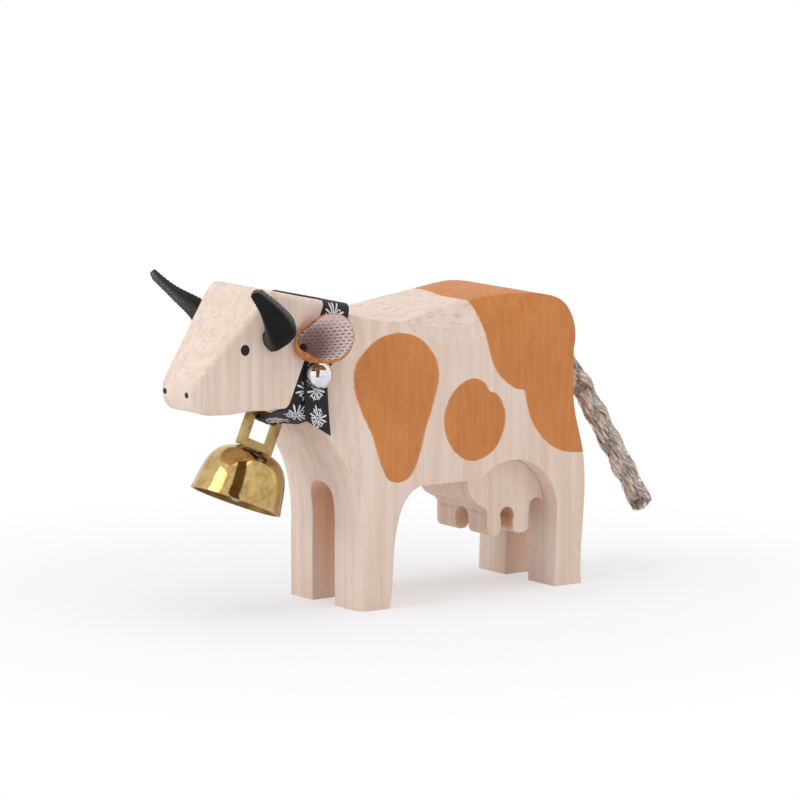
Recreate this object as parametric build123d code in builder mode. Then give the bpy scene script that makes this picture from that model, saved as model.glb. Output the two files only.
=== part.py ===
"""Toy cow sawn from a thick plank, with leather horns and ears, a rope tail and a brass bell on a ribbon.

Millimetres. +Z is up, the head looks along -X, and the origin is on the ground below the middle of the
cow's length. The cow's left side, with the lapped ribbon ends and the nail, is at -Y.
"""
import os
from math import cos, pi, radians, sin, sqrt, tan

from build123d import *

os.makedirs("parts", exist_ok=True)

# Plank and body
plank_thickness = 40.0
body_length = 86.5
body_height = 94.0
belly_height = 37.0
front_leg_width = 10.8
hind_leg_width = 10.4
leg_slot_width = 12.0
leg_slot_corner = 5.0
front_slot_rise = 1.3
hind_slot_drop = 0.4
arch_radius = 17.6
arch_center_drop = 12.7
hind_leg_taper = 0.8
leg_edge_chamfer = 2.4
cut_overrun = 30.0

# Head and neck
head_reach = 54.5
poll_height = 101.3
jaw_height = 64.6
muzzle_height = 8.2
chin_setback = 4.0
poll_ahead = 30.5
head_half_width = 16.2
muzzle_half_width = 8.2
cheek_ahead = 0.8
head_edge_radius = 2.2
poll_corner_radius = 2.5
ridge_slant_limit = 0.4
neck_half_width = 14.0
head_top_rise = 15.4
neck_top_rise = 15.2
withers_rise = 14.9
neck_bottom_drop = 15.4
neck_corner_radius = 3.0
neck_overlap = 1.0
neck_center_ahead = 11.5
neck_center_height = 80.15
collar_lean = 23.4
shoulder_start = 16.4
shoulder_fade_height = 41.0
shoulder_fade_ahead = 1.5

# Scooped upper edges of the back
scoop_radius = 80.0
scoop_lean = 18.0
scoop_along = 36.0
scoop_foot_height = 78.9

# Udder
udder_width = 26.5
glue_gap = 0.15
teat_bottom_height = 17.2
teat_groove_width = 7.0
teat_groove_height = 25.0
front_teat_width = 5.3
rear_teat_width = 6.0
teat_corner = 2.2
keyhole_neck = 4.8
keyhole_radius = 2.7
keyhole_back = 2.9
keyhole_height = 23.2
rear_notch_radius = 3.1
rear_notch_rise = 0.3
rear_notch_inset = 2.9

# Horns and ears
leather_fit = 0.15
horn_hole_diameter = 8.2
horn_hole_depth = 6.0
horn_ahead = 29.2
horn_root_drop = 14.3
horn_root_width = 7.5
horn_belly_width = 8.8
horn_tip_width = 4.0
horn_thickness = 2.5
horn_corner = 0.5
horn_reach_ahead = 15.1
horn_reach_out = 11.6
horn_reach_up = 16.2
ear_hole_diameter = 5.0
ear_hole_depth = 6.0
ear_ahead = 19.4
ear_root_drop = 18.3
ear_rim_radius = 8.2
ear_leather = 1.5
ear_stem_diameter = 4.6
ear_stem_proud = 0.5
ear_reach_back = 5.8
ear_reach_out = 7.3
ear_reach_up = 3.0
ear_turn_ahead = 9.0
ear_turn_up = 11.0

# Ribbon and nail
ribbon_width = 10.6
ribbon_thickness = 0.6
ribbon_fit = 0.15
ribbon_bar_fit = 0.3
ribbon_edge_gap = 0.5
ribbon_foot_half = 2.0
ribbon_foot_radius = 2.4
ribbon_knee_drop = 18.8
ribbon_waist_width = 6.6
ribbon_waist_half = 5.5
ribbon_waist_taper = 6.0
ribbon_tail_width = 8.4
ribbon_tail_over = 3.5
ribbon_tail_length = 22.4
ribbon_tail_lean = 4.8
ribbon_lap = 0.3
ribbon_tail_cut_rise = 5.2
ribbon_tail_behind = 4.0
nail_dome_diameter = 9.0
nail_dome_height = 5.4
nail_shank_diameter = 1.7
nail_hole_fit = 0.1
nail_seat_gap = 0.05
nail_length = 10.0
nail_back = 0.7
nail_height = 74.2

# Tail rope
rope_diameter = 7.8
rope_hole_fit = 0.15
rope_route = [
    (58.3, 0.0, 75.6),
    (70.5, 0.0, 72.6),
    (81.5, 0.0, 64.5),
    (95.5, 0.0, 42.0),
    (109.6, 0.0, 18.6),
]
rope_bend_share = 0.45

# Bell
bell_bar_drop = 6.55
bell_ahead = 1.6
handle_width = 12.9
handle_height = 12.4
handle_bar = 2.6
handle_depth = 2.2
handle_round = 0.8
bell_mouth_radius = 14.4
bell_height = 17.0
bell_wall = 1.0
bell_crown_radius = 4.6
stem_diameter = 2.8
stem_fit = 0.1
eye_thickness = 1.6
eye_radius = 2.0
eye_drop = 4.6
eye_hole_diameter = 2.0
clapper_wire_diameter = 1.0
clapper_loop_radius = 1.9
clapper_ball_diameter = 4.8
clapper_reach = 9.8
clapper_bore_fit = 0.05

# Outlines as shares, chosen by hand, of the sizes that they follow
front_leg_shares = [(1.0, 0.0), (1.13, 0.38), (1.34, 0.76), (1.64, 0.92), (2.06, 1.0)]
throat_shares = [(0.0, 0.22), (-0.007, 0.365), (-0.022, 0.425), (-0.048, 0.486), (-0.078, 0.537)]
rear_shares = [(0.986, 0.0), (0.993, 0.216), (1.0, 0.367), (0.99, 0.455), (0.957, 0.574), (0.947, 0.66)]
rump_shares = [(0.948, 0.8), (0.941, 0.905), (0.899, 0.959), (0.814, 0.99), (0.67, 1.0)]
back_shares = [(0.474, 0.982), (0.335, 0.964), (0.266, 0.951), (0.208, 0.943), (0.104, 0.948)]
udder_front_shares = [(-0.273, -0.06), (-0.31, 0.1), (-0.51, 0.22), (-0.66, 0.4)]
bell_shares = [(0.65, 0.12), (0.855, 0.36), (0.948, 0.68)]
horn_path_shares = [(0.0, 0.06, 0.0), (0.15, 0.56, 0.2), (0.53, 0.93, 0.57), (1.0, 1.0, 1.0)]
horn_corner_share = 0.6
horn_width_shares = [1.0, 0.85]
horn_thickness_shares = [2.8, 1.7, 1.05, 0.9]
horn_across_shares = [(0.9, 0.0, 0.43), (0.85, 0.3, 0.42), (0.79, 0.5, 0.36), (0.72, 0.6, 0.36)]

# Places worked out from the sizes above
half_length = (head_reach + body_length) / 2
front_x = head_reach - half_length
half_plank = plank_thickness / 2
neck_back = Vector(cos(radians(collar_lean)), 0, -sin(radians(collar_lean)))
neck_up = Vector(sin(radians(collar_lean)), 0, cos(radians(collar_lean)))
neck_center = Vector(front_x - neck_center_ahead, 0, neck_center_height)
nail_x = neck_center.X + (nail_height - neck_center_height) * tan(radians(collar_lean)) + nail_back
tail_back_x = nail_x + ribbon_tail_behind
collar_plane = Plane(origin=neck_center, x_dir=(0, 1, 0), z_dir=neck_back)
half_ribbon = ribbon_width / 2
collar_room = half_ribbon + ribbon_edge_gap
ribbon_inner_half = neck_half_width + ribbon_fit
ribbon_outer_half = ribbon_inner_half + ribbon_thickness
arch_x = front_x + body_length * rear_shares[0][0] - hind_leg_width + hind_leg_taper - arch_radius
arch_height = belly_height - arch_center_drop
horn_root_height = poll_height - horn_root_drop
ear_root_height = poll_height - ear_root_drop
bell_bar = neck_center - neck_up * (neck_bottom_drop + bell_bar_drop) - neck_back * bell_ahead
handle_plane = Plane(origin=bell_bar, x_dir=neck_back, z_dir=(0, -1, 0))
crown_drop = handle_height - handle_bar / 2
eye_center = bell_bar - neck_up * (crown_drop + eye_drop)
bell_plane = Plane(origin=bell_bar, x_dir=(0, 1, 0), z_dir=neck_back)
eye_plane = Plane(origin=eye_center, x_dir=(0, 1, 0), z_dir=neck_back)


def body_point(x_share, z_share):
    """A point of the side outline, from shares of the body's length and height."""
    return (front_x + x_share * body_length, z_share * body_height)


def collar_point(back, up):
    """A point of the side outline, measured from the middle of the neck along its own directions."""
    point = neck_center + neck_back * back + neck_up * up
    return (point.X, point.Z)


def saw_outline_points(shares):
    """Points of the side outline for a list of shares."""
    return [body_point(x_share, z_share) for x_share, z_share in shares]


def save(piece, name):
    """Label a finished piece and write it to its own file."""
    piece.part.label = name
    export_step(piece.part, f"parts/{name}.step")


# Head: a wedge that narrows from the cheeks to the muzzle
head_rear_back = -collar_room
head_top_point = collar_point(head_rear_back, head_top_rise)
jaw_drop = (neck_center_height - neck_back.Z * collar_room - jaw_height) / neck_up.Z
jaw_rear_point = collar_point(head_rear_back, -jaw_drop)
muzzle_x = front_x - head_reach
poll_point = (front_x - poll_ahead, poll_height)
muzzle_top_point = (muzzle_x, jaw_height + muzzle_height)
muzzle_foot_point = (muzzle_x, jaw_height + chin_setback)
chin_point = (muzzle_x + chin_setback, jaw_height)

# The cheeks break just ahead of the rounded poll
top_run = Vector(*poll_point) - Vector(*head_top_point)
face_run = Vector(*muzzle_top_point) - Vector(*poll_point)
poll_reach = poll_corner_radius * tan(radians(top_run.get_angle(face_run)) / 2)
cheek_x = (Vector(*poll_point) + face_run.normalized() * (poll_reach + cheek_ahead)).X

with BuildPart() as head:
    with BuildSketch(Plane.XZ) as head_side:
        with BuildLine():
            Polyline(
                head_top_point, poll_point, muzzle_top_point, muzzle_foot_point, chin_point, jaw_rear_point,
                close=True,
            )
        make_face()
        corners = head_side.vertices()
        fillet(corners.sort_by_distance(poll_point)[0], radius=poll_corner_radius)
    extrude(amount=head_half_width, both=True)
    for side in (1, -1):
        cheek = Vector(cheek_x, side * head_half_width, jaw_height)
        snout = Vector(muzzle_x, side * muzzle_half_width, jaw_height)
        facing = (snout - cheek).cross(Vector(0, 0, side))
        split(bisect_by=Plane(origin=cheek, z_dir=facing), keep=Keep.BOTTOM)
    ridges = head.edges().filter_by(lambda edge: abs(edge.center().Y) > muzzle_half_width / 2)
    outer = ridges.filter_by(lambda edge: abs(edge.tangent_at(1 / 2).Y) < ridge_slant_limit)
    fillet(outer.filter_by(lambda edge: edge.center().X < jaw_rear_point[0]), radius=head_edge_radius)

# Body block: the torso and legs, the neck and the head, sawn from one plank
front_leg_points = [(front_x + x * front_leg_width, z * belly_height) for x, z in front_leg_shares]
arch_start = (arch_x - sqrt(arch_radius**2 - arch_center_drop**2), belly_height)
arch_top = (arch_x, arch_height + arch_radius)
arch_end = (arch_x + arch_radius, arch_height)
hind_toe = (arch_x + arch_radius - hind_leg_taper, 0)
rear_points = saw_outline_points(rear_shares)
top_points = saw_outline_points(rump_shares + back_shares)
throat_points = saw_outline_points(throat_shares)
neck_top_point = collar_point(collar_room, withers_rise)
neck_foot_point = collar_point(collar_room, -neck_bottom_drop)

with BuildPart() as body_block:
    with BuildSketch(Plane.XZ):
        with BuildLine():
            Line((front_x, 0), front_leg_points[0])
            Spline(*front_leg_points)
            Line(front_leg_points[-1], arch_start)
            ThreePointArc(arch_start, arch_top, arch_end)
            Line(arch_end, hind_toe)
            Line(hind_toe, rear_points[0])
            Spline(*rear_points)
            Line(rear_points[-1], top_points[0])
            Spline(*top_points, neck_top_point)
            Line(neck_top_point, neck_foot_point)
            Spline(neck_foot_point, *reversed(throat_points))
            Line(throat_points[0], (front_x, 0))
        make_face()
    extrude(amount=half_plank, both=True)

    # Planed shoulders narrow the neck towards the collar on both sides
    for side in (1, -1):
        shoulder_back = Vector(front_x + shoulder_start, side * half_plank, body_height)
        shoulder_front = Vector(front_x, side * neck_half_width, body_height)
        shoulder_fade = Vector(front_x - shoulder_fade_ahead, side * half_plank, shoulder_fade_height)
        facing = (shoulder_front - shoulder_back).cross(shoulder_fade - shoulder_back) * -side
        split(bisect_by=Plane(origin=shoulder_back, z_dir=facing), keep=Keep.BOTTOM)

    # Scooped upper edges of the back
    for side in (1, -1):
        scoop_up = Vector(0, -side * sin(radians(scoop_lean)), cos(radians(scoop_lean)))
        scoop_out = Vector(0, side * cos(radians(scoop_lean)), sin(radians(scoop_lean)))
        scoop_foot = Vector(front_x + scoop_along, side * half_plank, scoop_foot_height)
        scoop_center = scoop_foot + scoop_out * scoop_radius
        with BuildSketch(Plane(origin=scoop_center, x_dir=(1, 0, 0), z_dir=scoop_up)):
            Circle(scoop_radius)
        extrude(amount=cut_overrun, both=True, mode=Mode.SUBTRACT)

    # Slots between the left and right legs, front and hind
    for slot_start, slot_end, slot_roof in (
        (front_x - cut_overrun, front_leg_points[-1][0], belly_height + front_slot_rise),
        (hind_toe[0] - cut_overrun / 2, front_x + body_length + cut_overrun, belly_height - hind_slot_drop),
    ):
        with BuildSketch(Plane.YZ.offset(slot_start)) as slot:
            with Locations((0, slot_roof / 2 - leg_slot_corner)):
                Rectangle(leg_slot_width, slot_roof + 2 * leg_slot_corner)
            fillet(slot.vertices().group_by(Axis.Y)[-1], radius=leg_slot_corner)
        extrude(amount=slot_end - slot_start, mode=Mode.SUBTRACT)

    # Neck under the collar, from the shoulders into the head
    with BuildSketch(collar_plane.offset(-collar_room - neck_overlap)) as neck_section:
        with Locations((0, (neck_top_rise - neck_bottom_drop) / 2)):
            Rectangle(2 * neck_half_width, neck_top_rise + neck_bottom_drop)
        fillet(neck_section.vertices(), radius=neck_corner_radius)
    extrude(amount=2 * collar_room + neck_overlap)

    # Softened front edges of the front legs
    front_edges = body_block.edges().filter_by(Axis.Z).group_by(Axis.X)[0].group_by(Axis.Y)
    chamfer(front_edges[0] + front_edges[-1], length=leg_edge_chamfer)

    # The head grows out of the neck
    add(head.part)

    # Holes for the horns and ears in both sides of the head
    for side in (1, -1):
        for ahead, height, diameter, depth in (
            (horn_ahead, horn_root_height, horn_hole_diameter, horn_hole_depth),
            (ear_ahead, ear_root_height, ear_hole_diameter, ear_hole_depth),
        ):
            hole_mouth = (front_x - ahead, side * head_half_width, height)
            with Locations(Plane(origin=hole_mouth, z_dir=(0, side, 0))):
                Hole(radius=diameter / 2, depth=depth)

    # Hole for the nail in the left side of the neck
    with Locations(Plane(origin=(nail_x, -neck_half_width, nail_height), z_dir=(0, -1, 0))):
        Hole(radius=nail_shank_diameter / 2 + nail_hole_fit, depth=nail_length)

    # Slanted hole for the tail in the rump
    rope_start = Vector(*rope_route[0])
    rope_lead = (Vector(*rope_route[1]) - rope_start).normalized()
    with BuildSketch(Plane(origin=rope_start - rope_lead * rope_hole_fit, z_dir=rope_lead)):
        Circle(rope_diameter / 2 + rope_hole_fit)
    extrude(amount=cut_overrun, mode=Mode.SUBTRACT)
save(body_block, "body_block")

# Udder block, glued under the arch
udder_radius = arch_radius - glue_gap
udder_lip_rise = arch_center_drop - glue_gap
udder_front_points = [
    (arch_x + x * arch_radius, arch_height + z * arch_radius) for x, z in udder_front_shares
]
udder_start = (arch_x - sqrt(udder_radius**2 - udder_lip_rise**2), arch_height + udder_lip_rise)
udder_top = (arch_x, arch_height + udder_radius)
udder_end = (arch_x + udder_radius, arch_height)
udder_floor = udder_front_points[0][1]
keyhole_x = arch_x + keyhole_back
front_teat_x = keyhole_x - keyhole_neck / 2 - front_teat_width / 2
rear_teat_x = keyhole_x + keyhole_neck / 2 + rear_teat_width / 2
rear_notch_x = arch_x + udder_radius - rear_notch_inset
teat_length = arch_height - teat_bottom_height

with BuildPart() as udder_block:
    with BuildSketch(Plane.XZ) as udder_side:
        with BuildLine():
            ThreePointArc(udder_start, udder_top, udder_end)
            Line(udder_end, (udder_end[0], udder_floor))
            Line((udder_end[0], udder_floor), udder_front_points[0])
            Spline(*udder_front_points, udder_start)
        make_face()
        with Locations((rear_notch_x, arch_height + rear_notch_rise)):
            Circle(rear_notch_radius, mode=Mode.SUBTRACT)
        with Locations((rear_notch_x, arch_height + rear_notch_rise - rear_notch_radius)):
            Rectangle(2 * rear_notch_radius, 2 * rear_notch_radius, mode=Mode.SUBTRACT)
        for teat_x, teat_width in ((front_teat_x, front_teat_width), (rear_teat_x, rear_teat_width)):
            with Locations((teat_x, teat_bottom_height + teat_length / 2)):
                Rectangle(teat_width, teat_length)
        fillet(udder_side.vertices().group_by(Axis.Y)[0], radius=teat_corner)
        with Locations((keyhole_x, keyhole_height)):
            Circle(keyhole_radius, mode=Mode.SUBTRACT)
    extrude(amount=udder_width / 2, both=True)
    with BuildSketch(Plane.YZ.offset(arch_x - cut_overrun)) as groove:
        with Locations((0, teat_groove_height / 2)):
            Rectangle(teat_groove_width, teat_groove_height)
        fillet(groove.vertices().group_by(Axis.Y)[-1], radius=teat_groove_width / 2 - glue_gap)
    extrude(amount=2 * cut_overrun, mode=Mode.SUBTRACT)
save(udder_block, "udder_block")

# Horns: leather tongues, rolled at the root, bent outwards, up and forwards
horn_stem = horn_hole_depth - leather_fit + horn_path_shares[0][1] * horn_reach_out
for side, name in ((-1, "left_horn"), (1, "right_horn")):
    root = Vector(front_x - horn_ahead, side * head_half_width, horn_root_height)
    path = []
    for ahead_share, out_share, up_share in horn_path_shares:
        path.append(root + Vector(
            -ahead_share * horn_reach_ahead, side * out_share * horn_reach_out, up_share * horn_reach_up))
    belly_widths = [share * horn_belly_width for share in horn_width_shares]
    widths = [horn_root_width] + belly_widths + [horn_tip_width]
    across = [Vector(back, side * out, up) for back, out, up in horn_across_shares]
    with BuildPart() as horn:
        for index, point in enumerate(path):
            before = path[max(index - 1, 0)]
            after = path[min(index + 1, len(path) - 1)]
            ahead = Vector(0, side, 0) if index == 0 else (after - before).normalized()
            flat = across[index] - ahead * across[index].dot(ahead)
            with BuildSketch(Plane(origin=point, x_dir=flat, z_dir=ahead)):
                half_width = widths[index] / 2
                half_thick = horn_thickness * horn_thickness_shares[index] / 2
                corner = max(horn_corner, half_thick * horn_corner_share)
                with BuildLine():
                    Polyline(
                        (half_width, half_thick - corner), (half_width - corner, half_thick),
                        (corner - half_width, half_thick), (-half_width, half_thick - corner),
                        (-half_width, corner - half_thick), (corner - half_width, -half_thick),
                        (half_width - corner, -half_thick), (half_width, corner - half_thick), close=True,
                    )
                make_face()
        loft()
        extrude(horn.faces().sort_by_distance(path[0])[0], amount=horn_stem)
    save(horn, name)

# Ears: cups of rolled leather on a stem that is glued into the head
for side, name in ((-1, "left_ear"), (1, "right_ear")):
    root = Vector(front_x - ear_ahead, side * (head_half_width + ear_stem_proud), ear_root_height)
    rim_center = root + Vector(ear_reach_back, side * ear_reach_out, ear_reach_up)
    turn = radians(ear_turn_ahead)
    rise = radians(ear_turn_up)
    facing = Vector(-sin(turn) * cos(rise), side * cos(turn) * cos(rise), sin(rise))
    rim_plane = Plane(origin=rim_center, x_dir=(1, 0, 0), z_dir=facing)
    stem_plane = Plane(origin=root, x_dir=(1, 0, 0), z_dir=(0, side, 0))
    with BuildPart() as ear:
        with BuildSketch(stem_plane):
            Circle(ear_stem_diameter / 2)
        with BuildSketch(rim_plane):
            Circle(ear_rim_radius)
        loft(ruled=True)
        with BuildSketch(stem_plane.offset(ear_leather)):
            Circle(ear_stem_diameter / 2 - ear_leather)
        with BuildSketch(rim_plane.offset(glue_gap)):
            Circle(ear_rim_radius - ear_leather)
        loft(ruled=True, mode=Mode.SUBTRACT)
        with BuildSketch(stem_plane):
            Circle(ear_stem_diameter / 2)
        extrude(amount=-(ear_hole_depth + ear_stem_proud - leather_fit))
    save(ear, name)

# Collar ribbon: a loop round the neck that sags to the bell, with one free end under the nail
ribbon_top = neck_top_rise + ribbon_fit
ribbon_foot = neck_bottom_drop + bell_bar_drop + handle_bar / 2 + ribbon_bar_fit
tail_root = ribbon_outer_half - ribbon_lap
tail_facing = Vector(0, -cos(radians(ribbon_tail_lean)), sin(radians(ribbon_tail_lean)))
nail_reach_down = ribbon_tail_over + nail_dome_diameter / 2
nail_seat = tail_root + nail_reach_down * tan(radians(ribbon_tail_lean)) + ribbon_thickness + nail_seat_gap
with BuildSketch(collar_plane) as ribbon_inside:
    with BuildLine():
        Polyline(
            (ribbon_inner_half, ribbon_top), (ribbon_inner_half, -ribbon_knee_drop),
            (ribbon_foot_half, -ribbon_foot), (-ribbon_foot_half, -ribbon_foot),
            (-ribbon_inner_half, -ribbon_knee_drop), (-ribbon_inner_half, ribbon_top), close=True,
        )
    make_face()
    loop_corners = ribbon_inside.vertices().group_by(Axis.Y)
    fillet(loop_corners[1] + loop_corners[2], radius=neck_corner_radius + ribbon_fit)
    fillet(ribbon_inside.vertices().group_by(Axis.Y)[0], radius=ribbon_foot_radius)

with BuildPart() as collar_ribbon:
    with BuildSketch(collar_plane):
        add(ribbon_inside.sketch_local)
        offset(amount=ribbon_thickness)
        add(ribbon_inside.sketch_local, mode=Mode.SUBTRACT)
    extrude(amount=half_ribbon, both=True)

    # Gathered to a waist where it runs through the bell's handle
    with BuildSketch(Plane(origin=neck_center, x_dir=(0, 1, 0), z_dir=-neck_up)):
        for edge in (1, -1):
            with BuildLine():
                Polyline(
                    (ribbon_waist_half + ribbon_waist_taper, edge * half_ribbon),
                    (ribbon_waist_half, edge * ribbon_waist_width / 2 - bell_ahead),
                    (-ribbon_waist_half, edge * ribbon_waist_width / 2 - bell_ahead),
                    (-ribbon_waist_half - ribbon_waist_taper, edge * half_ribbon),
                    close=True,
                )
            make_face()
    extrude(amount=cut_overrun, mode=Mode.SUBTRACT)

    # Free end, cut slantwise, that lies over the loop
    tail_top = (tail_back_x, -tail_root, nail_height + ribbon_tail_over)
    with BuildSketch(Plane(origin=tail_top, x_dir=(1, 0, 0), z_dir=tail_facing)):
        with BuildLine():
            Polyline(
                (0, 0), (-ribbon_tail_width, 0),
                (-ribbon_tail_width, ribbon_tail_cut_rise - ribbon_tail_length),
                (0, -ribbon_tail_length), close=True,
            )
        make_face()
    extrude(amount=ribbon_thickness)
    with Locations(Plane(origin=(nail_x, -neck_half_width, nail_height), z_dir=(0, -1, 0))):
        Hole(radius=nail_shank_diameter / 2 + nail_hole_fit)
save(collar_ribbon, "collar_ribbon")

# Domed nail through both layers of the ribbon into the neck
dome_radius = nail_dome_diameter / 2
dome_top = (-nail_seat - nail_dome_height, nail_height)
dome_shoulder = (-nail_seat - nail_dome_height + dome_radius, nail_height + dome_radius)
with BuildPart() as collar_nail:
    with BuildSketch(Plane.YZ.offset(nail_x)):
        with BuildLine():
            Polyline(
                dome_top, (-nail_seat, nail_height), (-nail_seat, nail_height + dome_radius), dome_shoulder,
            )
            RadiusArc(dome_shoulder, dome_top, -dome_radius)
        make_face()
    revolve(axis=Axis((nail_x, 0, nail_height), (0, 1, 0)))
    with BuildSketch(Plane(origin=(nail_x, -nail_seat, nail_height), z_dir=(0, 1, 0))):
        Circle(nail_shank_diameter / 2)
    extrude(amount=nail_length)
save(collar_nail, "collar_nail")

# Tail rope, let into the rump, with its cut end in the air
rope_corners = [Vector(*point) for point in rope_route]
rope_bends = []
for before, corner, after in zip(rope_corners, rope_corners[1:], rope_corners[2:]):
    run_in = corner - before
    run_out = after - corner
    half_turn = radians(run_in.get_angle(run_out)) / 2
    rope_bends.append(rope_bend_share * min(run_in.length, run_out.length) / tan(half_turn))

with BuildPart() as tail_rope:
    with BuildLine() as rope_line:
        FilletPolyline(*rope_route, radius=rope_bends)
    with BuildSketch(Plane(origin=rope_start, z_dir=rope_lead)):
        Circle(rope_diameter / 2)
    sweep()
print("rope bend radii", [round(radius, 1) for radius in rope_bends])
print("rope length", round(rope_line.wire().length, 1), "volume share",
      round(tail_rope.part.volume / (rope_line.wire().length * pi * rope_diameter**2 / 4), 4))
save(tail_rope, "tail_rope")

# Bell handle: a square loop that hangs on the ribbon, with a stem through the crown to the clapper's eye
with BuildPart() as bell_handle:
    with BuildSketch(handle_plane):
        with Locations((0, (handle_bar - handle_height) / 2)):
            Rectangle(handle_width, handle_height)
            Rectangle(handle_width - 2 * handle_bar, handle_height - 2 * handle_bar, mode=Mode.SUBTRACT)
    extrude(amount=handle_depth / 2, both=True)
    bar_edges = bell_handle.edges().filter_by(Axis((0, 0, 0), neck_back)).sort_by(Axis((0, 0, 0), neck_up))
    fillet(bar_edges[-4:], radius=handle_round)
    with BuildSketch(Plane(origin=bell_bar - neck_up * crown_drop, z_dir=-neck_up)):
        Circle(stem_diameter / 2)
    extrude(amount=eye_drop - eye_hole_diameter / 2)
    with BuildSketch(eye_plane):
        Circle(eye_radius)
    extrude(amount=eye_thickness / 2, both=True)
    with Locations(eye_plane):
        Hole(radius=eye_hole_diameter / 2)
save(bell_handle, "bell_handle")

# Bell cup, turned round the line of the neck
bell_shell = []
bell_bore_radius = bell_mouth_radius - bell_wall
for radius, top in ((bell_mouth_radius, crown_drop), (bell_bore_radius, crown_drop + bell_wall)):
    depth = crown_drop + bell_height - top
    crown = (bell_crown_radius * radius / bell_mouth_radius, -top)
    waist = [(out_share * radius, -top - down_share * depth) for out_share, down_share in bell_shares]
    bell_shell.append([crown] + waist + [(radius, -top - depth)])
outside, inside = bell_shell
stem_hole_radius = stem_diameter / 2 + stem_fit

with BuildPart() as bell_cup:
    with BuildSketch(bell_plane):
        with BuildLine():
            Line((stem_hole_radius, outside[0][1]), outside[0])
            ThreePointArc(*outside[:3])
            ThreePointArc(*outside[2:])
            Line(outside[-1], inside[-1])
            ThreePointArc(*inside[2:])
            ThreePointArc(*inside[:3])
            Line(inside[0], (stem_hole_radius, inside[0][1]))
            Line((stem_hole_radius, inside[0][1]), (stem_hole_radius, outside[0][1]))
        make_face()
    revolve(axis=Axis(bell_bar, neck_up))
save(bell_cup, "bell_cup")

# Clapper: a wire with a ring through the eye, and a ball on its end
ball_center = eye_center - neck_up * clapper_reach
with BuildPart() as clapper_wire:
    with Locations(Plane(origin=eye_center - neck_up * clapper_loop_radius, z_dir=(0, 1, 0))):
        Torus(clapper_loop_radius, clapper_wire_diameter / 2)
    with BuildSketch(Plane(origin=eye_center - neck_up * 2 * clapper_loop_radius, z_dir=-neck_up)):
        Circle(clapper_wire_diameter / 2)
    extrude(amount=clapper_reach - 2 * clapper_loop_radius)
save(clapper_wire, "clapper_wire")

with BuildPart() as clapper_ball:
    with Locations(ball_center):
        Sphere(clapper_ball_diameter / 2)
    with Locations(Plane(origin=ball_center, z_dir=-neck_up)):
        Cylinder(
            clapper_wire_diameter / 2 + clapper_bore_fit, clapper_ball_diameter,
            align=(Align.CENTER, Align.CENTER, Align.MAX), mode=Mode.SUBTRACT,
        )
save(clapper_ball, "clapper_ball")
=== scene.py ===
"""Sawn wooden toy cow, dressed: wood and stain, leather horns and ears, a rope tail, a bell on a ribbon.

Every length below is in millimetres and is turned into metres where a mesh or a node needs it.
"""
import logging
import math
import random
from dataclasses import dataclass
from enum import Enum
from typing import Iterable, Sequence, Union

import bmesh
import bpy
from mathutils import Matrix, Vector, noise


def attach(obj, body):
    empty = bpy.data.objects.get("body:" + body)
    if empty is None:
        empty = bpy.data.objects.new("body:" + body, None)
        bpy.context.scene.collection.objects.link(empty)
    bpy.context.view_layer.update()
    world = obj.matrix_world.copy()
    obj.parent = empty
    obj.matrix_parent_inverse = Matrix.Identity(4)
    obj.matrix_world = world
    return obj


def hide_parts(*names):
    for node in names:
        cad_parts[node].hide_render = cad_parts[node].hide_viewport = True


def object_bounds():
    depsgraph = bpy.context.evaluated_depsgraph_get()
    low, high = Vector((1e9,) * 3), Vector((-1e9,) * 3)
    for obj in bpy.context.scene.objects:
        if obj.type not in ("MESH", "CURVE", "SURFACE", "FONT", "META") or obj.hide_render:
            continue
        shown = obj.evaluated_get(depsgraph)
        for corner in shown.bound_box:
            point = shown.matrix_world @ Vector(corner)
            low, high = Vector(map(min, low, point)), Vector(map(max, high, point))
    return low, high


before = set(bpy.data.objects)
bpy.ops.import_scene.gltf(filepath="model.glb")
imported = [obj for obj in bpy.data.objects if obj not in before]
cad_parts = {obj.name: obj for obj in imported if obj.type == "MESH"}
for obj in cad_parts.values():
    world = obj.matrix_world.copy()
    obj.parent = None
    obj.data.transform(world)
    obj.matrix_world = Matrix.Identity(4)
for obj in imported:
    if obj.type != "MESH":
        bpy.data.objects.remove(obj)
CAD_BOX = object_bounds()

LOG = logging.getLogger("toy_cow")
MM = 0.001
TURN = 2.0 * math.pi
CORNER_ANGLE = math.radians(38.0)
EDGE_ANGLE = math.radians(24.0)
RIM_ANGLE = math.radians(50.0)
FLAT_ANGLE = math.radians(0.6)
OPENNESS_SAMPLES = 8
MERGE = 0.002
WHITE = (1.0, 1.0, 1.0, 1.0)
LEVEL = Vector((1.0, 0.0, 0.0))
UPRIGHT = Vector((0.0, 0.0, 1.0))

Socket = bpy.types.NodeSocket
Piece = bpy.types.Object
Material = bpy.types.Material
Triple = tuple[float, float, float]
Points = Sequence[Vector]
Ring = tuple[Points, Points]
Profile = tuple[tuple[float, float], ...]
Station = tuple[Vector, Vector, Vector, float]


class Body(Enum):
    """The bodies that new pieces ride on."""

    COW = "cow"
    BELL = "bell"


class Slot(Enum):
    """The record's material slots, by name."""

    WOOD = "wood"
    DARK_LEATHER = "dark_leather"
    BROWN_LEATHER = "brown_leather"
    RIBBON = "ribbon"
    NAIL = "nail_chrome"
    ROPE = "rope"
    BRASS = "bell_brass"


class Side(Enum):
    """The cow's own left and right."""

    LEFT = -1
    RIGHT = 1


def tint(*levels: float) -> tuple:
    """A colour as linear values, by the usual curve of a screen.

    Args:
        levels: Its red, green and blue from 0 to 255, as they look on a screen.

    Returns:
        The linear colour, with nothing showing through it.
    """
    shares = [level / 255.0 for level in levels]
    linear = [share / 12.92 if share <= 0.04045 else ((share + 0.055) / 1.055) ** 2.4 for share in shares]
    return (*linear, 1.0)


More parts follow.
